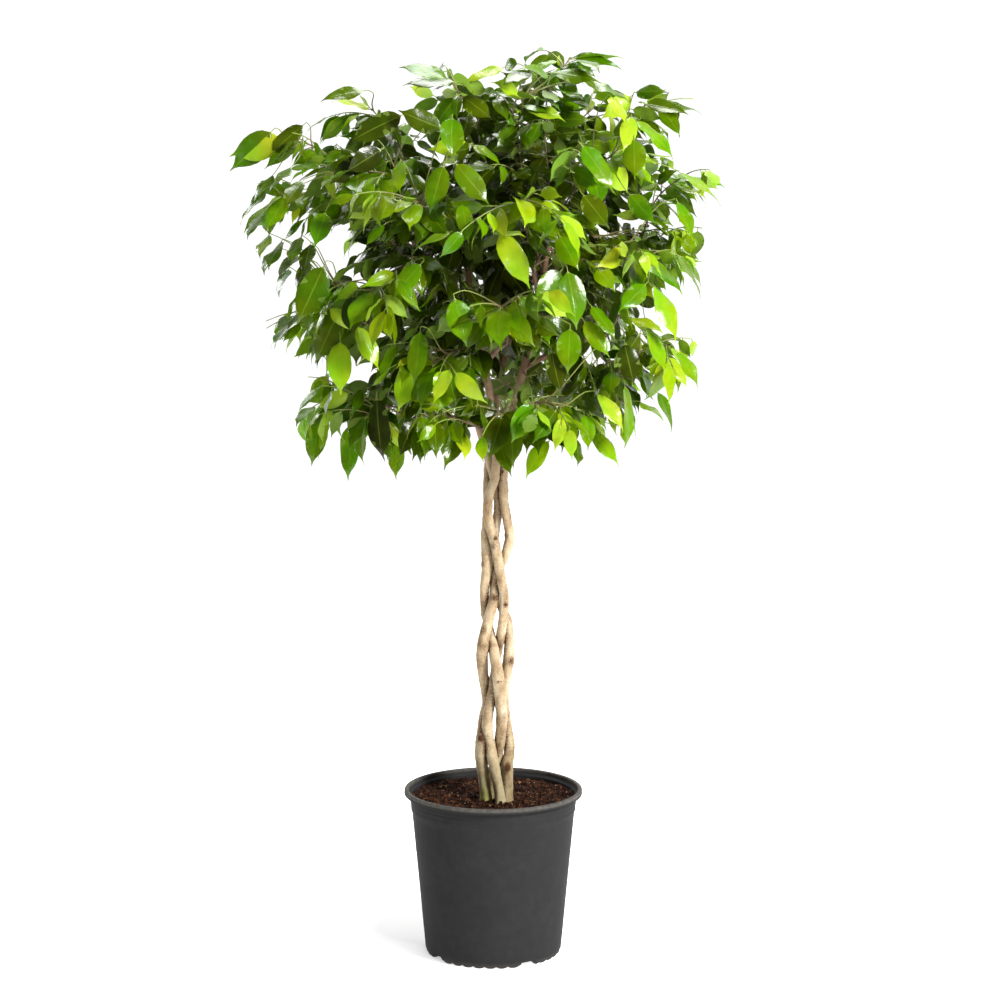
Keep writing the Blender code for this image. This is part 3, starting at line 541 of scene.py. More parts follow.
def point_on(line, share):
    """The point and direction at a share of a line's length."""
    steps, reach = steps_along(line)
    distance = share * reach[-1]
    i = min(max(int(np.searchsorted(reach, distance)), 1), len(line) - 1)
    f = (distance - reach[i - 1]) / steps[i - 1]
    return line[i - 1, :3] * (1 - f) + line[i, :3] * f, unit(line[i, :3] - line[i - 1, :3])


def plait(stems):
    """Part the stems in depth, keeping who passes in front, until none touches another."""
    for _ in range(PLAIT_ROUNDS):
        for stem in stems:
            stem[1:-1, 1] += (stem[:-2, 1] - 2 * stem[1:-1, 1] + stem[2:, 1]) * PLAIT_EASE
        for i in range(len(stems)):
            for j in range(i):
                across = stems[i][:, 0] - stems[j][:, 0]
                apart = stems[i][:, 1] - stems[j][:, 1]
                need = (stems[i][:, 3] + stems[j][:, 3]) * STEM_SLANT + STEM_CLEARANCE
                wanted = np.sqrt(np.maximum(need ** 2 - across ** 2, 0))
                push = np.maximum(wanted - np.abs(apart), 0) / 2 * np.where(apart < 0, -1, 1)
                stems[i][:, 1] += push
                stems[j][:, 1] -= push
    return stems


def stem_lines():
    """The four stems' middle lines: rows of x, y, z and radius from foot to top."""
    foot, top = STEM_ROUTES[0][0][2] / 1000.0, min(route[-1][2] for route in STEM_ROUTES) / 1000.0
    low = np.arange(foot, PLAIT_TOP, PLAIT_STEP)
    high = np.arange(low[-1] + LEADER_STEP, top, LEADER_STEP)
    fine = np.arange(foot, top, PLAIT_STEP / 4)
    curves = [through(np.array(route) / 1000.0, CURVE_READS * len(route)) for route in STEM_ROUTES]
    stems = plait([read_at(fine, curve[:, 2], curve) for curve in curves])
    return [read_at(np.concatenate([low, high]), fine, stem) for stem in stems]


def limb_lines(stem):
    """A stem's woody limbs: curved lines from its middle outwards, rising then levelling."""
    ahead = stem[-1] - stem[-LEAN_STATIONS]
    lean = math.atan2(ahead[1], ahead[0])
    lines = []
    for height, turn, rise, length in LIMBS:
        start = read_at(height, stem[:, 2], stem)[:3]
        bearing = lean + math.radians(turn)
        out = np.array([math.cos(bearing), math.sin(bearing), math.tan(math.radians(rise))])
        t = np.linspace(0, 1, LIMB_POINTS)[:, None]
        lines.append(with_radii(start + unit(out) * length * t + UP * LIMB_ARCH * (t - t ** 2), LIMB_RADII))
    return lines


def ring_faces(tubes, stations, sides):
    """The faces of many alike closed tubes: quads between their rings, and a cap at either end."""
    start = np.arange(tubes)[:, None, None] * stations * sides
    row = start + np.arange(stations - 1)[None, :, None] * sides
    k = np.arange(sides)
    after = (k + 1) % sides
    quads = np.stack([row + k, row + after, row + sides + after, row + sides + k], axis=-1).reshape(-1, 4)
    caps = [start[:, 0] + k[::-1], start[:, 0] + (stations - 1) * sides + k]
    return quads, np.vstack(caps)


def many_tubes(lines, sides):
    """Round tubes: each station's ring is middle + radius x (cos a x first + sin a x second).

    The two directions are square to the line and turn as little as possible on the way.
    """
    ahead = np.gradient(lines[:, :, :3], axis=1)
    ahead /= np.linalg.norm(ahead, axis=2, keepdims=True)
    side = np.cross(ahead[:, 0], UP + np.array(OFF_UPRIGHT))
    firsts = []
    for k in range(lines.shape[1]):
        side = side - ahead[:, k] * (side * ahead[:, k]).sum(axis=1, keepdims=True)
        side = side / np.linalg.norm(side, axis=1, keepdims=True)
        firsts.append(side)
    first = np.stack(firsts, axis=1)
    angle = (np.arange(sides) * 2 * math.pi / sides)[:, None]
    ring = np.cos(angle) * first[:, :, None] + np.sin(angle) * np.cross(ahead, first)[:, :, None]
    return lines[:, :, None, :3] + ring * lines[:, :, None, 3:4], ring


def tube_faces(line, sides, swell=0.0):
    """A plain tube round one line, made wider by swell, as points and faces for a check."""
    points, _ = many_tubes((line + np.array([0.0, 0.0, 0.0, swell]))[None], sides)
    quads, caps = ring_faces(1, len(line), sides)
    return points.reshape(-1, 3), quads.tolist() + caps.tolist()


def crown_tips():
    """Where the sprays end: the chosen tips, then even ones over the crown where there is room."""
    tips = [np.array(place) / 1000.0 for place, _ in CHOSEN_TIPS]
    ways = [unit(np.array(way)) for _, way in CHOSEN_TIPS]
    golden = math.pi * (3 - math.sqrt(5))
    order = np.argsort(np.random.default_rng(SEED).random(CROWN_TRIALS))
    for spacing in TIP_SPACINGS:
        for k in order:
            level = 1 - 2 * (k + 0.5) / CROWN_TRIALS
            wide = (1 - abs(level) ** CROWN_SQUARENESS) ** (1 / CROWN_SQUARENESS)
            rise = CROWN_RISE if level > 0 else CROWN_FALL
            out = np.array([math.cos(k * golden), math.sin(k * golden), 0.0])
            tip = np.array(CROWN_MIDDLE) + out * CROWN_RADIUS * wide + UP * rise * level
            if np.hypot(tip[0], tip[1]) < TRUNK_CLEAR and level < 0:
                continue
            if len(tips) < SPRAY_COUNT and min(np.linalg.norm(tip - t) for t in tips) > spacing:
                tips.append(tip)
                ways.append(unit(out * TIP_OUT - UP * (TIP_DROP[0] - TIP_DROP[1] * level)))
    return tips, ways


def twig_sites(stems, limbs):
    """Places where a twig can leave the wood: middle point, wood radius, wood direction, is an end."""
    sites = []
    for line in stems + limbs:
        _, reach = steps_along(line)
        for distance in np.arange(reach[-1] - SITE_MARGINS[1], SITE_MARGINS[0], -SITE_SPACING):
            row = read_at(distance, reach, line)
            if row[2] > SITE_LOWEST:
                i = min(int(np.searchsorted(reach, distance)), len(line) - 1)
                sites.append((row[:3], row[3], unit(line[i, :3] - line[i - 1, :3]), False))
        sites.append((line[-1, :3], line[-1, 3], unit(line[-1, :3] - line[-2, :3]), True))
    return sites


def twig_line(site, tip, way, bend):
    """A twig from the wood to its tip: square out of the wood, over in an arch, and down."""
    middle, radius, wood_way, is_end = site
    toward = unit(tip - middle)
    if is_end:
        out, start = wood_way, middle + wood_way * GAP
    else:
        out = unit(toward - wood_way * np.dot(toward, wood_way))
        start = middle + out * (radius + GAP)
    collar = start + out * TWIG_COLLAR
    length = np.linalg.norm(tip - collar)
    leave = unit(out * TWIG_LEAVE[0] + toward * TWIG_LEAVE[1] + UP * TWIG_LEAVE[2]) * length
    arrive = unit((toward + way) * TWIG_ARRIVE) * length
    t = np.linspace(0, 1, TWIG_POINTS - 1)[:, None]
    line = curve_between(collar, tip, leave, arrive, t) + (t - t ** 2) * 4 * bend
    return with_radii(np.vstack([start, line]), TWIG_RADII)


def without_root(line, parts):
    """A line whose first step is one part shorter, since it starts in its own wood."""
    probe = line.copy()
    probe[0, :3] += (probe[1, :3] - probe[0, :3]) / parts
    return probe


def leaf_sheet(leaf, first=0.0, larger=1.0):
    """The leaf's seven points: root, left and right at its widest, keel, left and right beyond, tip."""
    root, along, face, length, width, arch = leaf
    left = np.cross(face, along)
    (wide_at, wide), (far_at, far) = LEAF_STATIONS
    rows = ((first, 0.0), (wide_at, wide), (wide_at, -wide), (LEAF_KEEL, 0.0), (far_at, far),
            (far_at, -far), (1.0, 0.0))
    t, half = np.array(rows).T[:, :, None]
    across = half * width * larger
    return (root + along * length * t * larger - face * arch * length * t ** 2 + left * across
            + face * LEAF_FOLD * np.abs(across))


def leaf_faces(leaf, first, larger, thickness):
    """The leaf as a closed blade: its sheet moved half the thickness either way, with a rim."""
    sheet = leaf_sheet(leaf, first, larger)
    count = len(sheet)
    points = np.vstack([sheet + leaf[2] * thickness / 2, sheet - leaf[2] * thickness / 2])
    faces = [list(f) for f in SHEET_FACES] + [[i + count for i in f[::-1]] for f in SHEET_FACES]
    for a, b in zip(SHEET_RIM, SHEET_RIM[1:] + SHEET_RIM[:1]):
        faces.append([a + count, b + count, b, a])
    return points, faces


class Room:
    """What is already placed, to keep new twigs and leaves clear of it."""

    def __init__(self):
        self.trees = []
        self.lows = []
        self.highs = []

    def add(self, points, faces):
        """Place a solid, and return its number."""
        self.trees.append(BVHTree.FromPolygons(points.tolist(), faces))
        self.lows.append(points.min(axis=0))
        self.highs.append(points.max(axis=0))
        return len(self.trees) - 1

    def is_clear(self, points, faces, own=-1):
        """Whether a solid crosses nothing that is placed, its own twig left out."""
        low, high = points.min(axis=0), points.max(axis=0)
        near = np.all(np.array(self.lows) < high, axis=1) & np.all(np.array(self.highs) > low, axis=1)
        mine = BVHTree.FromPolygons(points.tolist(), faces)
        return not any(self.trees[i].overlap(mine) for i in np.nonzero(near)[0] if i != own)


def free_twig(n, tip, way, sites, free, room):
    """The first twig to this tip that crosses nothing, and its site, the nearest sites tried first."""
    costs = []
    for middle, _, wood_way, is_end in sites:
        toward = tip - middle
        slant = 1 + SQUARE_LIKING * np.dot(unit(toward), wood_way) ** 2
        costs.append(np.linalg.norm(toward) * (END_LIKING if is_end else slant))
    for s in np.argsort(costs)[:SITE_TRIES]:
        if not free[s] or (sites[s][3] and np.dot(unit(tip - sites[s][0]), sites[s][2]) < END_TURN):
            continue
        for attempt in range(TWIG_TRIES):
            rng = np.random.default_rng([SEED, n, int(s), attempt])
            line = twig_line(sites[s], tip, way, rng.normal(size=3) * TWIG_BEND * attempt)
            if room.is_clear(*tube_faces(without_root(line, TWIG_PROBE), TWIG_SIDES, LEAF_CLEARANCE)):
                return line, sites[s]
    return None, None


def grow_twigs(stems, limbs, room):
    """One twig for each tip, the outermost tip first, as number, line, way and number in the room."""
    tips, ways = crown_tips()
    sites = twig_sites(stems, limbs)
    free = [True] * len(sites)
    twigs = []
    for n in sorted(range(len(tips)), key=lambda n: -np.linalg.norm(tips[n] - np.array(CROWN_MIDDLE))):
        line, taken = free_twig(n, tips[n], ways[n], sites, free, room)
        if line is not None:
            for k, site in enumerate(sites):
                free[k] = free[k] and np.linalg.norm(site[0] - taken[0]) >= SITE_CLEAR
            twigs.append((n, line, ways[n], room.add(*tube_faces(line, TWIG_SIDES, WOOD_SWELL))))
    return sorted(twigs, key=lambda twig: twig[0])


def hung_leaf(rng, root, ahead, out, side_sign, attempt, rule, is_end, way=None):
    """One leaf by the rule: it reaches sideways, ahead and out, and hangs by its weight.

    A leaf at the end of a line goes on ahead instead, and turns to a way of its own if it has one.
    """
    loose, lengths, widths, arch, arches = rule
    side = unit(np.cross(ahead, UP)) * side_sign
    drop = LEAF_DROP[0] + LEAF_DROP[1] * rng.random() + LEAF_DROP[2] * (root[2] < CROWN_MIDDLE[2])
    sway = rng.normal(size=3) * (LEAF_LOOSE[0] + LEAF_LOOSE[1] * attempt)
    if not is_end:
        along = unit(side * LEAF_SIDE + ahead * LEAF_AHEAD + out * LEAF_OUT - UP * drop + sway)
    elif way is None:
        along = unit(ahead - UP * drop / 2 + sway)
    else:
        along = unit(way + ahead / 2 + sway)
    face = UP * LEAF_FACE_UP + out * LEAF_FACE_OUT
    face = face + rng.normal(size=3) * (loose + LEAF_FACE_LOOSE * attempt)
    face = unit(face - along * np.dot(face, along))
    length = rng.uniform(*lengths) * (1 - LEAF_SHRINK * attempt)
    width = length * LEAF_WIDTH * rng.uniform(*widths)
    return root, along, face, length, width, arch * rng.uniform(*arches)


def draw_leaf(n, line, way, k, attempt):
    """Leaf k of a solid spray: the first at the twig's end, the others left and right in turn."""
    rng = np.random.default_rng([SEED, n, k, attempt])
    share = LAST_SHARE
    if k:
        share = 1 - SHARE_SPREAD * (k - SHARE_START) / (LEAVES_A_SPRAY - 1)
        share += rng.uniform(-SHARE_LOOSE, SHARE_LOOSE)
    root, ahead = point_on(line, share)
    out = unit(root * np.array([1.0, 1.0, 0.0]))
    side_sign = 1 if (k + n) % 2 else -1
    return hung_leaf(rng, root, ahead, out, side_sign, attempt, SOLID_LEAF, not k, way)


def grow_leaves(twigs, room):
    """Leaves for every twig, the outermost of each first, each drawn again until it crosses nothing."""
    leaves = {n: [] for n, _, _, _ in twigs}
    thick = LEAF_THICKNESS + 2 * LEAF_CLEARANCE
    for k in range(LEAVES_A_SPRAY):
        for n, line, way, own in twigs:
            for attempt in range(LEAF_TRIES):
                leaf = draw_leaf(n, line, way, k, attempt)
                blade = leaf_faces(leaf, LEAF_NECK, LEAF_GROWTH, thick)
                whole = leaf_faces(leaf, 0.0, LEAF_GROWTH, thick)
                if room.is_clear(*blade) and room.is_clear(*whole, own):
                    room.add(*leaf_faces(leaf, 0.0, 1.0, LEAF_THICKNESS))
                    leaves[n].append(leaf)
                    break
    return leaves


@functools.cache
def grown():
    """The whole plant's lines and leaves, worked out once: stems, limbs, twigs, shoots and leaves."""
    stems = stem_lines()
    limbs = [limb_lines(stem) for stem in stems]
    room = Room()
    for line in stems:
        room.add(*tube_faces(line, STEM_SIDES, WOOD_SWELL))
    for line in sum(limbs, []):
        room.add(*tube_faces(line, TWIG_SIDES, WOOD_SWELL))
    twigs = grow_twigs(stems, sum(limbs, []), room)
    leaves = grow_leaves(twigs, room)
    sprays = [Spray(n, line, leaves[n]) for n, line, _, _ in twigs]
    owners = {n: own for n, _, _, own in twigs}
    add_chosen(sprays, room)
    add_shoots(sprays, owners, room)
    add_inner(sprays, stems, sum(limbs, []), room)
    return stems, limbs, sprays


class Spray:
    """What grows from one twig: the twig, its shoots, and its leaves with the green of each."""

    def __init__(self, number, line, leaves):
        self.number = number
        self.line = line
        self.shoots = []
        self.leaves = [(leaf, leaf_tone(leaf, INNER_LIGHT if k else 1.0, draw("tone", number, k)))
                       for k, leaf in enumerate(leaves)]


def leaf_tone(leaf, light, rng):
    """How young a leaf's green is, 0 to 1: older and darker inside, partly as painted shade; painted brighter
    at the crown's backlit edge; now and then a bright new one.
    """
    root = leaf[0] - np.array(CROWN_MIDDLE)
    shell = min(np.linalg.norm(root / np.array([CROWN_RADIUS, CROWN_RADIUS, CROWN_RISE])), SHELL_MOST)
    # Darker towards the crown's inside: older leaves, and painted shade
    tone = TONE_DARKEST + TONE_SHELL * shell ** 2 * rng.uniform(*TONE_SPREAD)
    tone += TONE_LIGHT * light * rng.random()
    # Painted backlight: leaves towards the crown's outer edge are painted brighter
    tone += EDGE_BACKLIGHT * max(math.hypot(root[0], root[1]) / CROWN_RADIUS - EDGE_BACKLIGHT_FROM, 0.0) / (1 - EDGE_BACKLIGHT_FROM)
    if rng.random() < NEW_INSIDE + NEW_OUTSIDE * light * (shell > NEW_SHELL):
        tone += rng.uniform(*NEW_TONE)
    return float(np.clip(tone, 0.0, 1.0))


def hanging_leaf(key, line, share, side_sign, attempt):
    """One leaf on a line by the same rule as the solids' leaves, and its draws."""
    rng = draw(*key, attempt)
    root, ahead = point_on(line, min(share, LAST_SHARE))
    out = unit((root - np.array(CROWN_MIDDLE)) * np.array([1.0, 1.0, 0.0]))
    return hung_leaf(rng, root, ahead, out, side_sign, attempt, FINE_LEAF, share >= LAST_SHARE), rng


def try_leaf(spray, room, key, line, share, side_sign, light):
    """Draw a leaf again and again until it crosses nothing, and give up after a few tries."""
    root = point_on(line, min(share, LAST_SHARE))[0]
    bare = np.interp(root[2], *SPARSE_BELOW) + np.interp(math.hypot(root[0], root[1]), *SPARSE_BEYOND)
    if draw(*key, BARE_DRAW).random() < bare:
        return
    thick = LEAF_THICKNESS + LEAF_CLEARANCE
    for attempt in range(EXTRA_TRIES):
        leaf, rng = hanging_leaf(key, line, share, side_sign, attempt)
        if room.is_clear(*leaf_faces(leaf, LEAF_NECK, 1.0, thick)) and within(leaf):
            room.add(*leaf_faces(leaf, LEAF_NECK, 1.0, LEAF_THICKNESS))
            spray.leaves.append((leaf, leaf_tone(leaf, light, rng)))
            return


def within(leaf):
    """Whether a leaf's tip stays in the solid sprays' box and, from the front, in the crown's outline."""
    sheet = leaf_sheet(leaf)
    tip = sheet[-1]
    if np.any(tip < LOWEST - CROWN_SLACK) or np.any(tip > HIGHEST + CROWN_SLACK):
        return False
    near = 1 / (1 + sheet[:, 1] / VIEW_DISTANCE)
    across, level = sheet[:, 0] * near * 1000, (VIEW_HEIGHT + (sheet[:, 2] - VIEW_HEIGHT) * near) * 1000
    inside = np.interp(level[-1], *zip(*LEFT_EDGE)) < across[-1] < np.interp(level[-1], *zip(*RIGHT_EDGE))
    left, right, top, back = STEM_WINDOW
    in_window = (across > left) & (across < right) & (level < top) & (sheet[:, 1] < back / 1000)
    return bool(inside and not np.any(in_window))


def leaves_along(spray, room, key, line, first, light):
    """Leaves left and right in turn along a line, one each EXTRA_SPACING, and one at its end."""
    length = steps_along(line)[0].sum()
    count = max(int(length * (1 - first) / EXTRA_SPACING), 1)
    shares = np.append(np.linspace(first, 1 - LAST_GAP / count, count), 1.0)
    for k, share in enumerate(shares[::-1]):
        try_leaf(spray, room, [*key, k], line, share, 1 if k % 2 else -1, light)


def shoot_line(start, go, reach):
    """A shoot: it leaves straight and bends down by its weight, with the square of the way along."""
    t = np.linspace(0, 1, SHOOT_POINTS)[:, None]
    return with_radii(start + go * reach * t + UP * reach * (-SHOOT_DROP * t ** 2), SHOOT_RADII)


def is_free(line, room, own):
    """Whether a shoot stays above the lowest leaves and crosses nothing but its own twig."""
    tube = tube_faces(without_root(line, SHOOT_PROBE), SHOOT_SIDES, LEAF_CLEARANCE / 2)
    return line[-1, 2] > LOWEST[2] + SHOOT_FLOOR and room.is_clear(*tube, own)


def add_shoot(spray, room, line):
    """Give a spray one more shoot."""
    room.add(*tube_faces(line, SHOOT_SIDES))
    spray.shoots.append(line)


def add_shoots(sprays, owners, room):
    """Side shoots on every twig, left and right in turn, then leaves on the shoots and the twigs."""
    sideways, forwards, upwards, loose = SHOOT_GO
    grown_shoots = []
    for j, share in enumerate(SHOOT_SHARES):
        for spray in sprays:
            for attempt in range(SHOOT_TRIES):
                rng = draw("shoot", spray.number, j, attempt)
                start, ahead = point_on(spray.line, share + rng.uniform(-SHOOT_SHIFT, SHOOT_SHIFT))
                side = unit(np.cross(ahead, UP)) * (1 if (j + spray.number) % 2 else -1)
                go = unit(side * sideways + ahead * forwards + UP * upwards + rng.normal(size=3) * loose)
                line = shoot_line(start, go, rng.uniform(*SHOOT_LENGTH))
                if is_free(line, room, owners[spray.number]):
                    add_shoot(spray, room, line)
                    grown_shoots.append((spray, j, line))
                    break
    for spray, j, line in grown_shoots:
        leaves_along(spray, room, ["shoot leaf", spray.number, j], line, *SHOOT_LEAVES)
    for spray in sprays:
        leaves_along(spray, room, ["twig leaf", spray.number], spray.line, *TWIG_LEAVES)


def add_inner(sprays, stems, limbs, room):
    """Short leafy shoots straight from the wood, which fill the crown's inside."""
    sites = [site for site in twig_sites(stems, limbs) if not site[3]]
    order = draw("site order").permutation(len(sites))
    made = 0
    for s in list(order) * 2:
        middle, radius, wood_way, _ = sites[s]
        rng = draw("inner shoot", int(s), made)
        out = unit(np.cross(wood_way, rng.normal(size=3)))
        go = unit(out + UP * INNER_RISE)
        line = shoot_line(middle + out * radius, go, rng.uniform(*INNER_LENGTH))
        if made < INNER_SHOOTS and is_free(line, room, -1):
            nearest = min(sprays, key=lambda spray: np.linalg.norm(spray.line[0, :3] - middle))
            add_shoot(nearest, room, line)
            leaves_along(nearest, room, ["inner leaf", int(s), made], line, *INNER_LEAVES)
            made += 1


def place_seen(across, down, depth):
    """The place at this depth behind the pot's axis which the photograph shows at this pixel."""
    slope = math.tan(VIEW_PITCH + math.atan((down - PHOTO_PIXELS / 2) / FOCAL_PIXELS))
    height = VIEW_HEIGHT - (VIEW_DISTANCE + depth) * slope
    ahead = (VIEW_DISTANCE + depth) * math.cos(VIEW_PITCH) + (VIEW_HEIGHT - height) * math.sin(VIEW_PITCH)
    return np.array([(across - PHOTO_PIXELS / 2 + AXIS_SHIFT) / FOCAL_PIXELS * ahead, depth, height])


def depth_seen(across, down, back):
    """The depth of the crown's front at this pixel, by repetition.

    The front is an ellipsoid, with z from its middle:
    depth = back - ahead - deep x sqrt(1 - (x / half width)^2 - (z / half height)^2).
    """
    half_width, half_height, deep, middle, ahead = CROWN_FRONT
    depth = -MARK_DEPTH
    for _ in range(MARK_ROUNDS):
        x, _, z = place_seen(across, down, depth)
        inside = max(1 - (x / half_width) ** 2 - ((z - middle) / half_height) ** 2, 0.0)
        depth = back - ahead - deep * math.sqrt(inside)
    return depth


def chosen_leaf(mark):
    """A leaf from its mark: the length that isn't seen points towards the front.

    It turns about its own length until it looks as narrow as its mark, its face upwards.
    """
    root_across, root_down, tip_across, tip_down, wide, tone, back = mark
    depth = depth_seen((root_across + tip_across) / 2, (root_down + tip_down) / 2, back / 1000)
    root, tip = place_seen(root_across, root_down, depth), place_seen(tip_across, tip_down, depth)
    wide = place_seen(root_across + wide, root_down, depth)[0] - root[0]
    across = tip - root
    seen = np.linalg.norm(across)
    length = max(seen * MARK_SLANT, MARK_LENGTH)
    along = unit(across + np.array([0.0, -1.0, 0.0]) * math.sqrt(length ** 2 - seen ** 2))
    width = float(np.clip(wide, MARK_WIDTH[0] * length, MARK_WIDTH[1] * length))
    front = unit(np.array(MARK_FACE))
    front = unit(front - along * np.dot(front, along))
    turn = math.acos(min(wide / width, 1.0))
    faces = [front * math.cos(turn) + np.cross(along, front) * math.sin(turn) * way for way in (1, -1)]
    face = max(faces, key=lambda way: way[2])
    whole = length / (1 - PETIOLE_SHARE)
    return (root - along * whole * PETIOLE_SHARE, along, unit(face), whole, width, MARK_ARCH), tone


def add_chosen(sprays, room):
    """The leaves that stand out, each on a thin shoot from a twig that is near and points at it."""
    for mark in LEAF_MARKS:
        leaf, tone = chosen_leaf(mark)
        root = leaf[0]
        reached = []
        for spray in sprays:
            for share in np.linspace(*REACH_SHARES):
                point, ahead = point_on(spray.line, share)
                gap = np.linalg.norm(root - point)
                ease = 1 - REACH_EASE * np.dot(unit(root - point), ahead)
                reached.append((gap * ease, spray, point, ahead))
        _, spray, point, ahead = min(reached, key=lambda item: item[0])
        gap = np.linalg.norm(root - point)
        leave = unit(root - point + ahead * gap * REACH_AHEAD) * gap
        arrive = unit(leaf[1] + unit(root - point)) * gap
        t = np.linspace(0, 1, SHOOT_POINTS)[:, None]
        add_shoot(spray, room, with_radii(curve_between(point, root, leave, arrive, t), SHOOT_RADII))
        spray.leaves.append((leaf, tone))
        room.add(*leaf_faces(leaf, LEAF_NECK, 1.0, LEAF_THICKNESS))


def build_mesh(name, materials, points, faces, marks=None, kinds=None, unders=None, sharp=SMOOTH):
    """A mesh from arrays: points, face arrays of any size, and optional marks on points and faces."""
    mesh = bpy.data.meshes.new(name)
    corners = np.concatenate([block.ravel() for block in faces]).astype(np.int32)
    totals = np.concatenate([np.full(len(block), block.shape[1]) for block in faces]).astype(np.int32)
    mesh.vertices.add(len(points))
    mesh.vertices.foreach_set("co", np.asarray(points, dtype=np.float32).ravel())
    mesh.loops.add(len(corners))
    mesh.loops.foreach_set("vertex_index", corners)
    mesh.polygons.add(len(totals))
    mesh.polygons.foreach_set("loop_start", np.concatenate([[0], np.cumsum(totals)[:-1]]).astype(np.int32))
    mesh.polygons.foreach_set("loop_total", totals)
    for material in materials:
        mesh.materials.append(material)
    if kinds is not None:
        mesh.polygons.foreach_set("material_index", kinds.astype(np.int32))
    mesh.update(calc_edges=True)
    mesh.validate()
    if marks is not None:
        layer = mesh.attributes.new("marks", "FLOAT_VECTOR", "POINT")
        layer.data.foreach_set("vector", np.asarray(marks, dtype=np.float32).ravel())
    if unders is not None:
        layer = mesh.attributes.new("under", "FLOAT", "FACE")
        layer.data.foreach_set("value", np.asarray(unders, dtype=np.float32))
    mesh.shade_smooth()
    mesh.set_sharp_from_angle(angle=math.radians(sharp))
    return mesh


def place(mesh, slot, *nodes):
    """A finished piece in the scene: it rides on the plant, and stands for the named solids."""
    piece = bpy.data.objects.new(mesh.name, mesh)
    bpy.context.scene.collection.objects.link(piece)
    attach(piece, "root")
    if nodes:
        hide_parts(*nodes)


def join_parts(parts):
    """Several parts as one: each is points, face arrays, marks on points, marks on faces and its kind."""
    starts = np.cumsum([0] + [len(part[0]) for part in parts])
    counts = [sum(len(block) for block in part[1]) for part in parts]
    faces = [block + start for part, start in zip(parts, starts) for block in part[1]]
    kinds = np.concatenate([np.full(count, part[4]) for part, count in zip(parts, counts)])
    unders = [np.zeros(count) if part[3] is None else part[3] for part, count in zip(parts, counts)]
    points, marks = (np.vstack([part[i] for part in parts]) for i in (0, 2))
    return points, faces, marks, kinds, np.concatenate(unders)


def leaf_blades(leaves):
    """Leaf blades as closed tubes of six-point rings: left, left top, top, right top, right, under.

    The middle line is root + along x length x s - face x arch x length x s squared, and bends down
    more in its last fifth, the drip tip. Each ring spreads left and right by the outline's half width
    times x. It lifts by the fold times the size of x, less the crown times x squared, and ripples
    by sin(pace x s + start + lean x x) near the edge.
    """
    root, along, face = (np.array([leaf[i] for leaf, _ in leaves])[:, None] for i in range(3))
    length, width, arch = np.array([leaf[3:6] for leaf, _ in leaves]).T[:, :, None]
    count = len(leaves)
    rng = draw("blades")
    sway, twist = rng.normal(size=(2, count, 1)) * np.array(BLADE_SWAY)[:, None, None]
    wave = rng.uniform(0, 2 * math.pi, size=(count, 1))
    pace = rng.uniform(*WAVE_PACE, size=(count, 1))
    fold = LEAF_FOLD * rng.uniform(*FOLD_SPREAD, size=(count, 1))[:, :, None]
    s, half = np.array(LEAF_OUTLINE).T
    left = np.cross(face, along)
    sink = arch * s ** 2 + DRIP_BEND * np.maximum((s - DRIP_TIP[0]) / DRIP_TIP[1], 0) ** 2
    middle = (root + along * (length * s)[:, :, None] - face * (length * sink)[:, :, None]
              + left * (length * sway * s ** 2)[:, :, None])
    turn = (twist * s)[:, :, None]
    lefts = left * np.cos(turn) + face * np.sin(turn)
    ups = face * np.cos(turn) - left * np.sin(turn)
    x = np.array([1.0, 0.5, 0.0, -0.5, -1.0, 0.0])
    is_under = np.array([0, 0, 0, 0, 0, 1.0])
    angle = np.radians([0, 45, 90, 135, 180, 270])
    halves = (width / 2 * half)[:, :, None]
    ripple = np.sin((pace * s + wave)[:, :, None] + WAVE_LEAN * x) * np.abs(x) ** 3
    lift = (fold * np.abs(halves * x) + BLADE_THICKNESS * (1 - x ** 2) * (0.5 - is_under)
            - BLADE_CROWN * halves * x ** 2 + (EDGE_WAVE * length * half)[:, :, None] * ripple)
    is_stalk = (np.arange(len(s)) < PETIOLE_RINGS)[None, :, None]
    spread = np.where(is_stalk, PETIOLE_RADIUS * np.cos(angle), halves * x)[..., None]
    lift = np.where(is_stalk, PETIOLE_RADIUS * np.sin(angle), lift)[..., None]
    points = middle[:, :, None] + lefts[:, :, None] * spread + ups[:, :, None] * lift
    marks = np.zeros(points.shape)
    marks[..., 0] = x
    marks[..., 1] = s[None, :, None]
    marks[..., 2] = np.array([tone for _, tone in leaves])[:, None, None]
    quads, caps = ring_faces(count, len(s), len(x))
    unders = np.append(np.tile([0, 0, 0, 0, 1, 1], len(quads) // 6), np.zeros(len(caps)))
    return points.reshape(-1, 3), [quads, caps], marks.reshape(-1, 3), unders, 0


def wood_tubes(lines, sides, stations, age, kind=0):
    """Twigs or shoots as smooth tubes, read at even stations, with how woody each is as a mark."""
    points, _ = many_tubes(np.array([through(line, stations) for line in lines]), sides)
    marks = np.zeros(points.shape)
    marks[..., 2] = np.linspace(*age, stations)[None, :, None]
    return points.reshape(-1, 3), ring_faces(len(lines), stations, sides), marks.reshape(-1, 3), None, kind


def relief(angle, height, rng):
    """Bark relief, mostly -1 to 1: a sum of waves round and along the stem, with seeded steps and starts."""
    total = np.zeros(np.broadcast(angle, height).shape)
    most, pace = RELIEF_PACE
    for _ in range(RELIEF_TERMS):
        around, along = rng.integers(0, most), rng.normal() * pace
        total += np.cos(around * angle + along * height + rng.uniform(0, 2 * math.pi))
    return total / math.sqrt(RELIEF_TERMS)


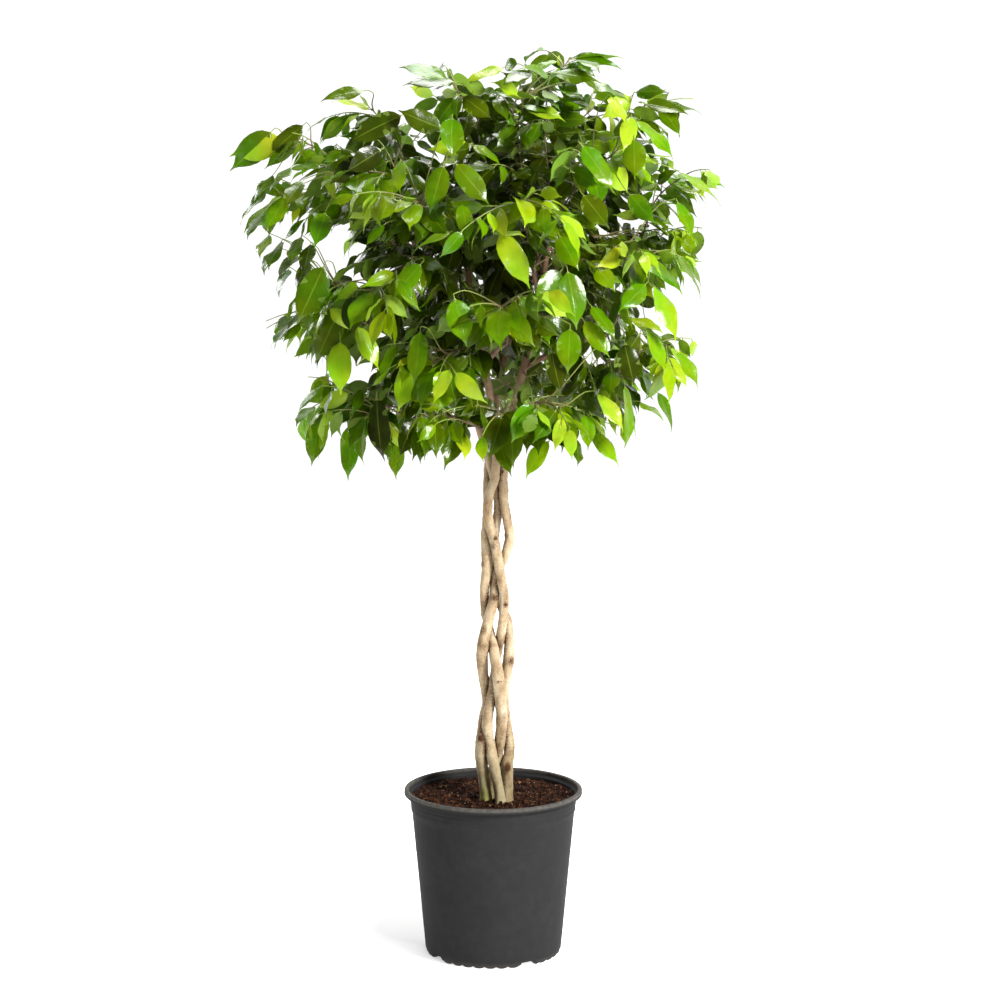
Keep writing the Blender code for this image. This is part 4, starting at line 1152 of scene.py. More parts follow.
def stem_at(k):
    """A stem's middle line for the bark: the solid's stations on one smooth curve, with its swellings.

    A swelling moves the line and widens it by a bell curve of the height: exp(-(distance / half length)^2).
    """
    curve = through(grown()[0][k], FINE_READS)
    low = np.arange(SOIL_TOP - BARK_START, PLAIT_TOP, BARK_STEP)
    heights = np.append(low, np.arange(low[-1] + BARK_STEP_HIGH, curve[-1, 2], BARK_STEP_HIGH))
    line = read_at(heights, curve[:, 2], curve)
    line[:, 3] *= BARK_SWELL
    for stem, level, half, wider, right, forward in SWELLINGS:
        if stem == k + 1:
            rise = np.exp(-((heights - level / 1000) / (half / 1000)) ** 2) / 1000
            line[:, [0, 1, 3]] += rise[:, None] * np.array([right, -forward, wider])
    return line


def fading(distance, reach):
    """1 up to nothing, then falling off: exp(-distance / reach)."""
    return np.exp(-np.maximum(distance, 0) / reach)


def bark_stem(k, lines):
    """One stem's bark: radius + relief + flare + knots, each knot a round rise that fades with distance.

    Its marks are scar (with painted shade and dirt where another stem is near), moss and age.
    """
    line = lines[k]
    points, ring = (grid[0] for grid in many_tubes(line[None], BARK_SIDES))
    height = line[:, None, 2]
    angle = np.arctan2(ring[..., 0], -ring[..., 1])
    push = BARK_RELIEF * relief(angle, height, draw("bark", k))
    flare, fade_over, lobes, deep = FLARE
    push = push + flare * fading(height - SOIL_TOP, fade_over) * (1 + deep * np.cos(lobes * angle + k))
    scar = np.zeros(angle.shape)
    for stem, level, bearing, size, out, dark in KNOTS:
        if stem == k + 1:
            away = np.angle(np.exp(1j * (angle - math.radians(bearing)))) * line[:, None, 3]
            far = np.hypot(away, height - level / 1000) / (size / 1000)
            dimple = KNOT_DIMPLE[0] * np.exp(-(far / KNOT_DIMPLE[1]) ** 2)
            push = push + out / 1000 * np.exp(-far ** 2) * (1 - dimple)
            scar = np.maximum(scar, dark * np.exp(-(far / KNOT_STAIN) ** 4))
    points = points + ring * push[..., None]
    # Painted shade and dirt: darker where another stem's surface is near
    shade = np.zeros(angle.shape)
    for other in lines[:k] + lines[k + 1:]:
        gap = np.linalg.norm(points[..., :2] - other[:, None, :2], axis=2) - other[:, None, 3]
        shade = np.maximum(shade, fading(gap, SHADE_AND_DIRT_REACH))
    moss_top, moss_reach, moss_turn, moss_side = MOSS
    marks = np.zeros(points.shape)
    marks[..., 0] = np.maximum(scar, SHADE_AND_DIRT_DARK * shade * (height < PLAIT_TOP + SHADE_AND_DIRT_ABOVE))
    marks[..., 1] = (k == 0) * fading(height - moss_top, moss_reach) * (np.cos(angle + moss_turn) > moss_side)
    marks[..., 2] = np.clip((height - BARK_AGE[0]) / BARK_AGE[1], 0, 1)
    return points.reshape(-1, 3), ring_faces(1, len(points), BARK_SIDES), marks.reshape(-1, 3), None, 0


def wall_radius(height):
    """The pot's outer radius at a height: a plain cone."""
    return POT_BASE_RADIUS + POT_TAPER * height


def arc(x, y, wide, high, start, end, count):
    """Points on an ellipse's arc: x + wide x cos a and y + high x sin a, a going from start to end."""
    return [(x + wide * math.cos(a), y + high * math.sin(a)) for a in np.linspace(start, end, count)]


def pot_profile():
    """The pot's outline, radius and height, from the middle underneath round to the middle inside."""
    top, low, shoulder = POT_HEIGHT, POT_HEIGHT - LIP_HEIGHT, POT_HEIGHT - SHOULDER_DROP
    quarter, rim, inside = math.pi / 2, POT_RIM_RADIUS, LIP_INNER_RADIUS
    points = [(0.0, RECESS), (UNDER_RING, RECESS)]
    points += [(POT_BASE_RADIUS - FOOT_WIDTH + out, z) for out, z in FOOT_EDGE]
    inset, wide, high = FOOT_CORNER
    points += arc(POT_BASE_RADIUS - inset, high, wide, high, -quarter, 0, 6)
    points += [(wall_radius(z), z) for z in np.linspace(FOOT_HEIGHT, shoulder - 2 * SHOULDER_STEP, 24)]
    deep, half, step = GROOVE
    for z in np.arange(shoulder, low - SHOULDER_END, step):
        dip = deep * sum(math.exp(-((z - at) / half) ** 2) for at in GROOVES)
        points.append((wall_radius(z) + SHOULDER_STEP - dip, z))
    points += [(wall_radius(low) + SHOULDER_STEP, low - LIP_TUCK[0]), (rim - LIP_TUCK[1], low)]
    points += arc(rim - LIP_ROUND, low + LIP_ROUND, LIP_ROUND, LIP_ROUND, LIP_STARTS[0] - quarter, 0, 5)
    points += [(rim - LIP_FACE[0], top - LIP_FACE[1])]
    edge = rim - LIP_FACE[0] - LIP_TOP_ROUND
    points += arc(edge, top - LIP_TOP_ROUND, LIP_TOP_ROUND, LIP_TOP_ROUND, 0, quarter, 6)
    start = LIP_STARTS[1] + quarter
    points += arc(inside + LIP_ROUND, top - LIP_ROUND, LIP_ROUND, LIP_ROUND, start, math.pi, 5)
    points += [(inside - back, top - down) for back, down in LIP_LEDGE]
    points += [(wall_radius(low) - POT_WALL, low - LIP_END)]
    under_lip, over, under, lowest = INSIDE_STATIONS
    points += [(wall_radius(z) - POT_WALL, z) for z in (low - under_lip, LEDGE_HEIGHT + over)]
    for z in (LEDGE_HEIGHT, *np.linspace(LEDGE_HEIGHT - under, lowest, 12)):
        thicker = LEDGE_STEP * max(0.0, (z - LEDGE_FADE) / (LEDGE_HEIGHT - LEDGE_FADE))
        points.append((wall_radius(z) - POT_WALL - thicker, z))
    return np.array(points + [(FLOOR_RADIUS, RECESS + POT_FLOOR), (0.0, RECESS + POT_FLOOR)])


def pot_points(notch_lift):
    """The pot turned round its axis, its foot lifted at the notches and between the scallops.

    Below the foot's height z becomes z + lift x (1 - z / foot height), so the foot closes up smoothly.
    The radius is pinched in the same way between the scallops, and swells in a lug beside each notch.
    """
    radius, height = pot_profile().T[:, :, None]
    angle = np.arange(FINE_SIDES) * 2 * math.pi / FINE_SIDES
    count = round(2 * math.pi * POT_BASE_RADIUS / SCALLOP_PITCH)
    valley = (1 - np.abs(np.cos(angle * count / 2))) ** SCALLOP_SHARPNESS
    lift, push = SCALLOP_DEPTH * valley, -SCALLOP_PINCH * valley
    for k in range(NOTCH_COUNT):
        bearing = -math.pi / 2 + NOTCH_FIRST + k * 2 * math.pi / NOTCH_COUNT
        away = np.abs(np.angle(np.exp(1j * (angle - bearing)))) * POT_BASE_RADIUS - NOTCH_WIDTH / 2
        lift = np.maximum(lift, notch_lift * np.clip(-away / NOTCH_SLOPE, 0, 1) ** NOTCH_SHARPNESS)
        push = push + LUG[0] * np.exp(-((away - LUG[1]) / LUG[2]) ** 2)
    is_foot = (height < FOOT_HEIGHT) & (radius > POT_BASE_RADIUS - FOOT_WIDTH - FOOT_MARGIN)
    near = np.where(is_foot, 1 - height / FOOT_HEIGHT, 0.0)
    return turned(radius + push * near, height + lift * near, angle)


def turned(radius, height, angle):
    """Stations of a turned body: radius and height at each angle."""
    x, y = radius * np.cos(angle), radius * np.sin(angle)
    return np.stack([x, y, height + 0 * x], axis=-1)


def turned_body(grid):
    """Points and faces of a turned body whose two end stations close to one point each."""
    stations, sides = grid.shape[:2]
    quads = ring_faces(1, stations - 2, sides)[0] + 1
    k = np.arange(sides)
    after = (k + 1) % sides
    last = (stations - 2) * sides + 1
    first_fan = np.stack([0 * k, after + 1, k + 1], axis=1)
    last_fan = np.stack([0 * k + last, last - sides + k, last - sides + after], axis=1)
    return np.vstack([grid[0, :1], grid[1:-1].reshape(-1, 3), grid[-1, :1]]), [quads, first_fan, last_fan]


def soil_height(x, y):
    """The soil's top: its level, a rise to the wall, a mound on the left, lumps and fine grain."""
    rng = draw("soil")
    lumps = np.zeros(np.shape(x))
    for size, depth, count in SOIL_LUMPS:
        for _ in range(count):
            bearing, start = rng.uniform(0, 2 * math.pi, 2)
            step = 2 * math.pi / size * rng.uniform(*LUMP_SPREAD)
            wave = np.cos(step * (x * math.cos(bearing) + y * math.sin(bearing)) + start)
            lumps = lumps + depth / math.sqrt(count) * LUMP_GAIN * wave
    right, back, high, half = SOIL_MOUND
    mound = high * np.exp(-((x - right) ** 2 + (y - back) ** 2) / half ** 2)
    return SOIL_TOP + SOIL_RISE * (np.hypot(x, y) / SOIL_REACH) ** 3 + mound + lumps


def soil_points():
    """The soil as a turned body: its top by soil_height, then a skirt down the wall and a flat underside."""
    angle = np.arange(SOIL_SIDES_FINE) * 2 * math.pi / SOIL_SIDES_FINE
    far = np.linspace(0, wall_radius(SOIL_TOP) - POT_WALL - GAP, SOIL_RINGS_FINE)[:, None]
    top = turned(far, soil_height(far * np.cos(angle), far * np.sin(angle)), angle)
    low = SOIL_TOP - SOIL_DEPTH
    skirt = turned(np.array([[wall_radius(low) - POT_WALL - GAP], [0.0]]), low, angle)
    return np.concatenate([top, skirt])[::-1]


def to_length_one(vectors):
    """Each vector at length 1."""
    return vectors / np.linalg.norm(vectors, axis=1, keepdims=True)


def chips(count):
    """Loose chips: six-sided lozenges, each stretched, tilted and laid on the soil by its own draw."""
    rng = draw("chips")
    far = np.sqrt(rng.random(count)) * CHIP_REACH
    bearing = rng.uniform(0, 2 * math.pi, count)
    x, y = far * np.cos(bearing), far * np.sin(bearing)
    size = rng.uniform(0, 1, count) ** CHIP_RARITY * (CHIP_SIZE[1] - CHIP_SIZE[0]) + CHIP_SIZE[0]
    middle = np.stack([x, y, soil_height(x, y) + size * CHIP_RISE], axis=1)
    long_way = to_length_one(rng.normal(size=(count, 3)) * np.array([1, 1, CHIP_TILT]))
    wide_way = to_length_one(np.cross(rng.normal(size=(count, 3)) * CHIP_TILT + UP, long_way))
    angle = (np.arange(CHIP_SIDES) * 2 * math.pi / CHIP_SIDES)[:, None]
    around = rng.uniform(*CHIP_RAGGED, size=(count, CHIP_SIDES, 1))
    wide, thick = CHIP_SHAPE
    ring = (long_way[:, None] * np.cos(angle) + wide_way[:, None] * (np.sin(angle) * wide)) * around
    ends = np.cross(long_way, wide_way)[:, None] * np.array([[thick], [-thick]])
    points = middle[:, None] + np.concatenate([ends, ring], axis=1) * size[:, None, None]
    k = np.arange(CHIP_SIDES)
    after = (k + 1) % CHIP_SIDES
    tops = np.stack([0 * k, 2 + k, 2 + after], axis=1)
    unders = np.stack([0 * k + 1, 2 + after, 2 + k], axis=1)
    start = np.arange(count)[:, None, None] * (CHIP_SIDES + 2)
    faces = (start + np.vstack([tops, unders])).reshape(-1, 3)
    marks = np.zeros(points.shape)
    pale = rng.random(count) ** PALE_RARITY * np.where(size > PALE_LARGEST, PALE_LARGE, 1.0)
    marks[..., 2] = pale[:, None]
    return points.reshape(-1, 3), [faces], marks.reshape(-1, 3)


def linear(colour):
    """An sRGB hex colour as linear red, green, blue and alpha."""
    channels = [int(colour[i:i + 2], 16) / 255 for i in (0, 2, 4)]
    return (*[c / 12.92 if c <= 0.04045 else ((c + 0.055) / 1.055) ** 2.4 for c in channels], 1.0)


def add_node(tree, kind, inputs=None, **settings):
    """Add a node with its settings; each input is a value, a hex colour or another node's output."""
    node = tree.nodes.new(kind)
    for name, value in settings.items():
        setattr(node, name, value)
    for name, value in (inputs or {}).items():
        if isinstance(value, bpy.types.NodeSocket):
            tree.links.new(value, node.inputs[name])
        else:
            node.inputs[name].default_value = linear(value) if isinstance(value, str) else value
    return node


def noise(tree, at, scale, detail):
    """Noise from 0 to 1, whose features are about 1 / scale metres apart."""
    inputs = {"Vector": at, "Scale": scale, "Detail": detail}
    return add_node(tree, "ShaderNodeTexNoise", inputs).outputs["Fac"]


def ramp(tree, value, *stops):
    """A colour by value: each stop is a place and a hex colour or a grey."""
    node = add_node(tree, "ShaderNodeValToRGB", {"Fac": value})
    elements = node.color_ramp.elements
    while len(elements) < len(stops):
        elements.new(0.5)
    for element, (position, colour) in zip(elements, stops):
        element.position = position
        element.color = linear(colour) if isinstance(colour, str) else (colour, colour, colour, 1.0)
    return node.outputs[0]


def blend(tree, share, first, second):
    """A colour the share of the way from the first to the second."""
    return add_node(tree, "ShaderNodeMix", {0: share, 6: first, 7: second}, data_type="RGBA").outputs[2]


def work_out(tree, operation, *values, use_clamp=False):
    """The result of one piece of arithmetic."""
    node = add_node(tree, "ShaderNodeMath", dict(enumerate(values)), operation=operation, use_clamp=use_clamp)
    return node.outputs[0]


def fade(tree, value, low, high, start=0.0, end=1.0):
    """From start to end while the value goes from low to high."""
    limits = {"Value": value, "From Min": low, "From Max": high, "To Min": start, "To Max": end}
    return add_node(tree, "ShaderNodeMapRange", limits).outputs[0]


def relief_of(tree, height, strength, distance, **base):
    """A bump of this depth in metres, over a base bump if one is given."""
    inputs = {"Height": height, "Strength": strength, "Distance": distance, **base}
    return add_node(tree, "ShaderNodeBump", inputs).outputs[0]


def here(tree):
    """The place on the object, in metres."""
    return add_node(tree, "ShaderNodeTexCoord").outputs["Object"]


def split(tree, vector):
    """A vector's three parts."""
    return add_node(tree, "ShaderNodeSeparateXYZ", {"Vector": vector}).outputs


def marks_of(tree):
    """The three marks that the mesh carries on its points."""
    return split(tree, add_node(tree, "ShaderNodeAttribute", attribute_name="marks").outputs["Vector"])


def new_finish(name):
    """A material, its node tree and its surface shader, which is joined to the output."""
    material = bpy.data.materials.new(name)
    material.use_nodes = True
    tree = material.node_tree
    tree.nodes.clear()
    shader = add_node(tree, "ShaderNodeBsdfPrincipled")
    add_node(tree, "ShaderNodeOutputMaterial", {"Surface": shader.outputs["BSDF"]})
    return material, tree, shader


def finish(tree, shader, **inputs):
    """Set a shader's inputs: a name's underscores stand for spaces."""
    for name, value in inputs.items():
        socket = shader.inputs[name.replace("_", " ")]
        if isinstance(value, bpy.types.NodeSocket):
            tree.links.new(value, socket)
        else:
            socket.default_value = linear(value) if isinstance(value, str) else value


def polypropylene():
    """Moulded black polypropylene, dulled by handling: matt, a little chalky on the foot, and pale on the lip
    from rubbing and a painted highlight.
    """
    material, tree, shader = new_finish("Moulded polypropylene, matt")
    at = here(tree)
    height = split(tree, at)["Z"]
    # Chalky clouds about 40 mm across, and streaks left by wiping, about 11 mm wide
    clouds = noise(tree, at, 25.0, 4.0)
    dull = work_out(tree, "MULTIPLY", clouds, noise(tree, at, 90.0, 5.0))
    colour = ramp(tree, dull, (0.10, "2A2A2A"), (0.40, "2F2F2F"))
    # The lip's top 6 mm is pale in spots about 7 mm wide: rubbed wear, and a painted highlight along the
    # rim's top
    lip = fade(tree, height, 0.2342, 0.2372)
    rubbed_and_highlight = work_out(tree, "MULTIPLY", lip, noise(tree, at, 140.0, 5.0))
    colour = blend(tree, rubbed_and_highlight, colour, "6E6A64")
    # Grit dried on the lowest 10 mm
    colour = blend(tree, fade(tree, height, 0.010, 0.001, end=0.35), colour, "5A5650")
    # Moulded grain about 0.6 mm apart
    grain = relief_of(tree, noise(tree, at, 1600.0, 2.0), 0.12, 0.0002)
    finish(tree, shader, Base_Color=colour, Roughness=fade(tree, clouds, 0.0, 1.0, 0.50, 0.68),
           Normal=grain, IOR=1.49, Specular_IOR_Level=0.02)
    return material


def peat():
    """Moist peat and composted bark: crumbs about 2 mm across, dark brown with rusty and straw flecks."""
    material, tree, shader = new_finish("Composted bark and peat, moist")
    at = here(tree)
    crumbs = add_node(tree, "ShaderNodeTexVoronoi", {"Vector": at, "Scale": 420.0})
    shade = add_node(tree, "ShaderNodeSeparateColor", {"Color": crumbs.outputs["Color"]}).outputs[0]
    # Each crumb's own shade, darker and lighter in patches about 17 mm across
    both = work_out(tree, "MULTIPLY", shade, noise(tree, at, 60.0, 6.0))
    colour = ramp(tree, both, (0.04, "0E0603"), (0.22, "221008"), (0.42, "42220F"), (0.62, "6A4426"))
    # Grain about 1 mm apart on the crumbs
    height = work_out(tree, "SUBTRACT", noise(tree, at, 900.0, 4.0), crumbs.outputs["Distance"])
    finish(tree, shader, Base_Color=colour, Roughness=0.85, Normal=relief_of(tree, height, 0.9, 0.0012),
           Specular_IOR_Level=0.12)
    return material


def chip_bark():
    """Chips of composted pine bark: rusty brown, a few as pale as straw."""
    material, tree, shader = new_finish("Pine bark chips, shredded")
    _, _, pale = marks_of(tree)
    # Fibres about 0.7 mm apart
    fibres = noise(tree, here(tree), 1500.0, 3.0)
    shifted = work_out(tree, "MULTIPLY_ADD", fibres, 0.30, pale)
    colour = ramp(tree, shifted, (0.10, "140804"), (0.50, "34190B"), (0.86, "58321A"), (0.96, "8A6848"),
                  (1.0, "C0A682"))
    finish(tree, shader, Base_Color=colour, Roughness=0.8, Normal=relief_of(tree, fibres, 0.6, 0.0006),
           Specular_IOR_Level=0.12)
    return material


def fig_bark():
    """Young fig bark: thin, smooth and pale, with cross ridges, corky dots, brown scars and a green foot."""
    material, tree, shader = new_finish("Weeping fig bark, smooth and pale")
    scars_shade_and_dirt, mossy, aged = marks_of(tree)
    at = here(tree)
    height = split(tree, at)["Z"]
    # Clouds 15 mm by 30 mm, then mottling about 2.5 mm across
    long_at = add_node(tree, "ShaderNodeMapping", {"Vector": at, "Scale": (1.0, 1.0, 0.5)}).outputs["Vector"]
    clouds, mottle = noise(tree, long_at, 65.0, 4.0), noise(tree, at, 400.0, 4.0)
    both = add_node(tree, "ShaderNodeMix", {0: 0.26, 2: clouds, 3: mottle}).outputs[0]
    colour = ramp(tree, both, (0.34, "745C40"), (0.42, "9A8262"), (0.52, "B49E7E"), (0.66, "C9B99C"))
    # Cross ridges about 3 mm apart, only here and there
    flat_at = add_node(tree, "ShaderNodeMapping", {"Vector": at, "Scale": (0.3, 0.3, 1.0)}).outputs["Vector"]
    ridges = noise(tree, flat_at, 380.0, 2.0)
    colour = blend(tree, ramp(tree, ridges, (0.30, 0.45), (0.36, 0.0)), colour, "8A765C")
    # Corky dots about 4 mm apart
    dots = add_node(tree, "ShaderNodeTexVoronoi", {"Vector": flat_at, "Scale": 240.0}).outputs["Distance"]
    colour = blend(tree, ramp(tree, dots, (0.08, 0.5), (0.13, 0.0)), colour, "6A5038")
    # Up in the crown the bark is browner, and near the soil a green-grey film lies on it in clouds
    colour = blend(tree, work_out(tree, "MULTIPLY", aged, 0.8), colour, "6B4733")
    low = fade(tree, height, 0.34, 0.24, end=0.75)
    colour = blend(tree, work_out(tree, "MULTIPLY", low, clouds), colour, "9A9366")
    film = work_out(tree, "MULTIPLY", work_out(tree, "MULTIPLY", mossy, mottle), 1.1, use_clamp=True)
    colour = blend(tree, film, colour, "8A9430")
    # Brown of knots and scars, and painted shade with dirt where two stems meet, its edges broken up every 2
    # mm
    edge = work_out(tree, "MULTIPLY_ADD", noise(tree, at, 500.0, 4.0), 1.3, -0.55)
    scar = fade(tree, work_out(tree, "ADD", edge, scars_shade_and_dirt), 0.30, 0.85)
    colour = blend(tree, scar, colour, "4C2D14")
    normal = relief_of(tree, work_out(tree, "ADD", mottle, ridges), 0.6, 0.0009)
    finish(tree, shader, Base_Color=colour, Roughness=0.75, Normal=normal, Specular_IOR_Level=0.3)
    return material


def green_shoot():
    """Young fig shoots: brown where they are woody, green where they are new."""
    material, tree, shader = new_finish("Weeping fig shoots, green turning woody")
    _, _, age = marks_of(tree)
    # Blotches about 3 mm long
    blotch = noise(tree, here(tree), 330.0, 3.0)
    shifted = work_out(tree, "MULTIPLY_ADD", blotch, 0.5, age)
    colour = ramp(tree, shifted, (0.25, "86A03A"), (0.65, "7C7442"), (0.95, "6E543C"), (0.95, "5C4433"))
    finish(tree, shader, Base_Color=colour, Roughness=0.6, Normal=relief_of(tree, blotch, 0.4, 0.0003))
    return material


def leaf_green(tree, at, age_and_painted_light):
    """A blade's green by its tone (age, painted shade and painted backlight), cloudy, more olive in some
    patches and purer in others.
    """
    # Clouds about 15 mm across, patches about 60 mm across
    clouds, patch = noise(tree, at, 66.0, 3.0), noise(tree, at, 17.0, 1.0)
    tone = work_out(tree, "ADD", age_and_painted_light, work_out(tree, "MULTIPLY_ADD", clouds, 0.24, -0.12))
    blade = ramp(tree, tone, (0.0, "1E2000"), (0.22, "3A4100"), (0.45, "576C00"), (0.62, "718F00"),
                 (0.80, "99B409"), (1.0, "BFCC29"))
    hue = fade(tree, patch, 0.3, 0.7, 0.494, 0.546)
    return clouds, add_node(tree, "ShaderNodeHueSaturation", {"Hue": hue, "Color": blade}).outputs[0]


def fig_leaf(settings):
    """Waxy weeping fig leaf: dark to bright green, glossy above, paler below, and lit through.

    The marks are across (-1 to 1), along (0 to 1) and the green's tone: how young it is, with painted shade
    and backlight.
    """
    material, tree, shader = new_finish("Weeping fig leaf, waxy")
    across, along, age_and_painted_light = marks_of(tree)
    under = add_node(tree, "ShaderNodeAttribute", attribute_name="under").outputs["Fac"]
    clouds, blade = leaf_green(tree, here(tree), age_and_painted_light)
    # Midrib about 0.9 mm wide on a 32 mm blade
    side = work_out(tree, "ABSOLUTE", across)
    rib = fade(tree, side, 0.075, 0.02)
    # Side veins about 4.5 mm apart on a 65 mm leaf, which run forward as they go out
    slope = work_out(tree, "MULTIPLY_ADD", side, -0.16, along)
    veins = fade(tree, work_out(tree, "SINE", work_out(tree, "MULTIPLY", slope, 90.0)), 0.72, 1.0)
    lines = work_out(tree, "MULTIPLY_ADD", rib, 0.40, work_out(tree, "MULTIPLY", veins, 0.03))
    top = blend(tree, lines, blade, blend(tree, 0.55, blade, "A8CC40"))
    colour = blend(tree, under, top, blend(tree, 0.42, top, "86A03C"))
    # The stalk is paler than the blade
    colour = blend(tree, fade(tree, along, 0.13, 0.105), colour, "93A548")
    swell = relief_of(tree, clouds, 0.25, 0.004)
    normal = relief_of(tree, work_out(tree, "MULTIPLY_ADD", veins, 0.22, rib), 0.22, 0.0004, Normal=swell)
    matt = fade(tree, under, 0.0, 1.0, settings.gloss_roughness, 0.55)
    finish(tree, shader, Base_Color=colour, Roughness=matt, Normal=normal, IOR=1.45, Specular_IOR_Level=0.42)
    # Light that comes through the blade is yellower than its face, and a blade of a brighter tone, younger or
    # painted lighter, lets more through
    lit = add_node(tree, "ShaderNodeBsdfTranslucent", {"Color": blend(tree, 0.40, colour, "A2CA0C")})
    share = fade(tree, age_and_painted_light, 0.0, 1.0, settings.see_through * 0.5, settings.see_through * 1.4)
    mixed = add_node(tree, "ShaderNodeMixShader", {0: share, 1: shader.outputs[0], 2: lit.outputs[0]})
    output = next(node for node in tree.nodes if node.type == "OUTPUT_MATERIAL")
    tree.links.new(mixed.outputs[0], output.inputs["Surface"])
    return material


def white_sweep(settings):
    """Matt white studio paper that glows, but for the soft shadow behind the pot's left side."""
    material, tree, shader = new_finish("White studio paper, matt")
    far = add_node(tree, "ShaderNodeVectorMath", {0: here(tree), 1: SHADOW_AT}, operation="DISTANCE")
    glow = fade(tree, far.outputs["Value"], *SHADOW_REACH, settings.floor_glow, 1.0)
    finish(tree, shader, Emission_Strength=glow, Emission_Color="FFFFFF", Base_Color="E8E8E8",
           Roughness=0.9, Specular_IOR_Level=0.1)
    return material


class FigPotSettings(bpy.types.PropertyGroup):
    """The nursery pot's sizes."""

    notch_lift: bpy.props.FloatProperty(
        name="Notch height", description="How high the drain notches reach up the wall",
        default=NOTCH_LIFT, min=0.0, max=0.008, unit="LENGTH")
    chip_count: bpy.props.IntProperty(
        name="Chips", description="How many loose chips lie on the soil", default=CHIP_COUNT, min=1, max=4000)


class FigPlantSettings(bpy.types.PropertyGroup):
    """The plant's finishes."""

    gloss_roughness: bpy.props.FloatProperty(
        name="Leaf roughness", description="How matt the leaves' upper side is",
        default=0.20, min=0.05, max=1.0, subtype="FACTOR")
    see_through: bpy.props.FloatProperty(
        name="Lit through", description="The share of light that comes through a middling leaf",
        default=0.25, min=0.0, max=0.6, subtype="FACTOR")
    pieces: bpy.props.IntProperty(
        name="Crown pieces", description="How many pieces the crown is made in", default=4, min=1, max=11)


class FigStageSettings(bpy.types.PropertyGroup):
    """The studio: floor, lights and camera."""

    floor_glow: bpy.props.FloatProperty(
        name="Floor glow", description="How much the floor shines by itself in the shadow",
        default=0.11, min=0.0, max=2.0)
    key_power: bpy.props.FloatProperty(
        name="Key light", description="Power of the big light on the right",
        default=275.0, min=0.0, unit="POWER")
    rim_power: bpy.props.FloatProperty(
        name="Rim light", description="Power of the light behind on the left",
        default=50.0, min=0.0, unit="POWER")
    top_power: bpy.props.FloatProperty(
        name="Top light", description="Power of the light overhead", default=70.0, min=0.0, unit="POWER")
    room_light: bpy.props.FloatProperty(
        name="Room light", description="Brightness of the white room", default=1.0, min=0.0, max=4.0)
    camera_distance: bpy.props.FloatProperty(
        name="Camera distance", description="From the pot's axis",
        default=VIEW_DISTANCE, min=1.0, unit="LENGTH")
    camera_height: bpy.props.FloatProperty(
        name="Camera height", description="Above the floor", default=VIEW_HEIGHT, min=0.0, unit="LENGTH")
    camera_pitch: bpy.props.FloatProperty(
        name="Camera pitch", description="How far the camera looks down", default=VIEW_PITCH, subtype="ANGLE")


class FIG_OT_pot(bpy.types.Operator):
    """Make the nursery pot: a turned wall with a rolled lip, a shoulder and a notched, scalloped foot"""

    bl_idname = "weeping_fig.pot"
    bl_label = "Nursery pot"

    def execute(self, context):
        points, faces = turned_body(pot_points(context.scene.fig_pot.notch_lift))
        mesh = build_mesh("nursery_pot", [polypropylene()], points, faces, sharp=POT_SMOOTH)
        place(mesh, "pot_plastic", "pot")
        return {"FINISHED"}


class FIG_OT_mix(bpy.types.Operator):
    """Make the potting mix and the loose chips on it"""

    bl_idname = "weeping_fig.mix"
    bl_label = "Potting mix"

    def execute(self, context):
        place(build_mesh("potting_mix", [peat()], *turned_body(soil_points())), "potting_mix", "soil")
        loose = chips(context.scene.fig_pot.chip_count)
        place(build_mesh("bark_chips", [chip_bark()], *loose, sharp=CHIP_SMOOTH), "potting_mix")
        return {"FINISHED"}


class FIG_OT_stems(bpy.types.Operator):
    """Make the four plaited stems with their limbs, knots and scars"""

    bl_idname = "weeping_fig.stems"
    bl_label = "Plaited stems"

    def execute(self, context):
        stems, limbs, _ = grown()
        bark = fig_bark()
        lines = [stem_at(k) for k in range(len(stems))]
        for k in range(len(stems)):
            parts = [bark_stem(k, lines), wood_tubes(limbs[k], *LIMB_TUBE, LIMB_AGE)]
            mesh = build_mesh(f"plaited_stem_{k + 1}", [bark], *join_parts(parts)[:3])
            place(mesh, "fig_bark", f"stem_{k + 1}")
        return {"FINISHED"}


class FIG_OT_crown(bpy.types.Operator):
    """Make the leafy sprays: twigs, side shoots and every leaf, in a few pieces"""

    bl_idname = "weeping_fig.crown"
    bl_label = "Leafy sprays"

    def execute(self, context):
        sprays = grown()[2]
        settings = context.scene.fig_plant
        finishes = [fig_leaf(settings), green_shoot()]
        for i in range(settings.pieces):
            chosen = list(range(i, len(sprays), settings.pieces))
            leaves = [leaf for s in chosen for leaf in sprays[s].leaves]
            shoots = [line for s in chosen for line in sprays[s].shoots]
            twigs = [sprays[s].line for s in chosen]
            parts = [leaf_blades(leaves), wood_tubes(twigs, *TWIG_TUBE, TWIG_AGE, 1),
                     wood_tubes(shoots, *SHOOT_TUBE, SHOOT_AGE, 1)]
            mesh = build_mesh(f"leafy_sprays_{i + 1}", finishes, *join_parts(parts))
            place(mesh, "fig_leaf", *[f"spray_{s + 1:02d}" for s in chosen])
        return {"FINISHED"}


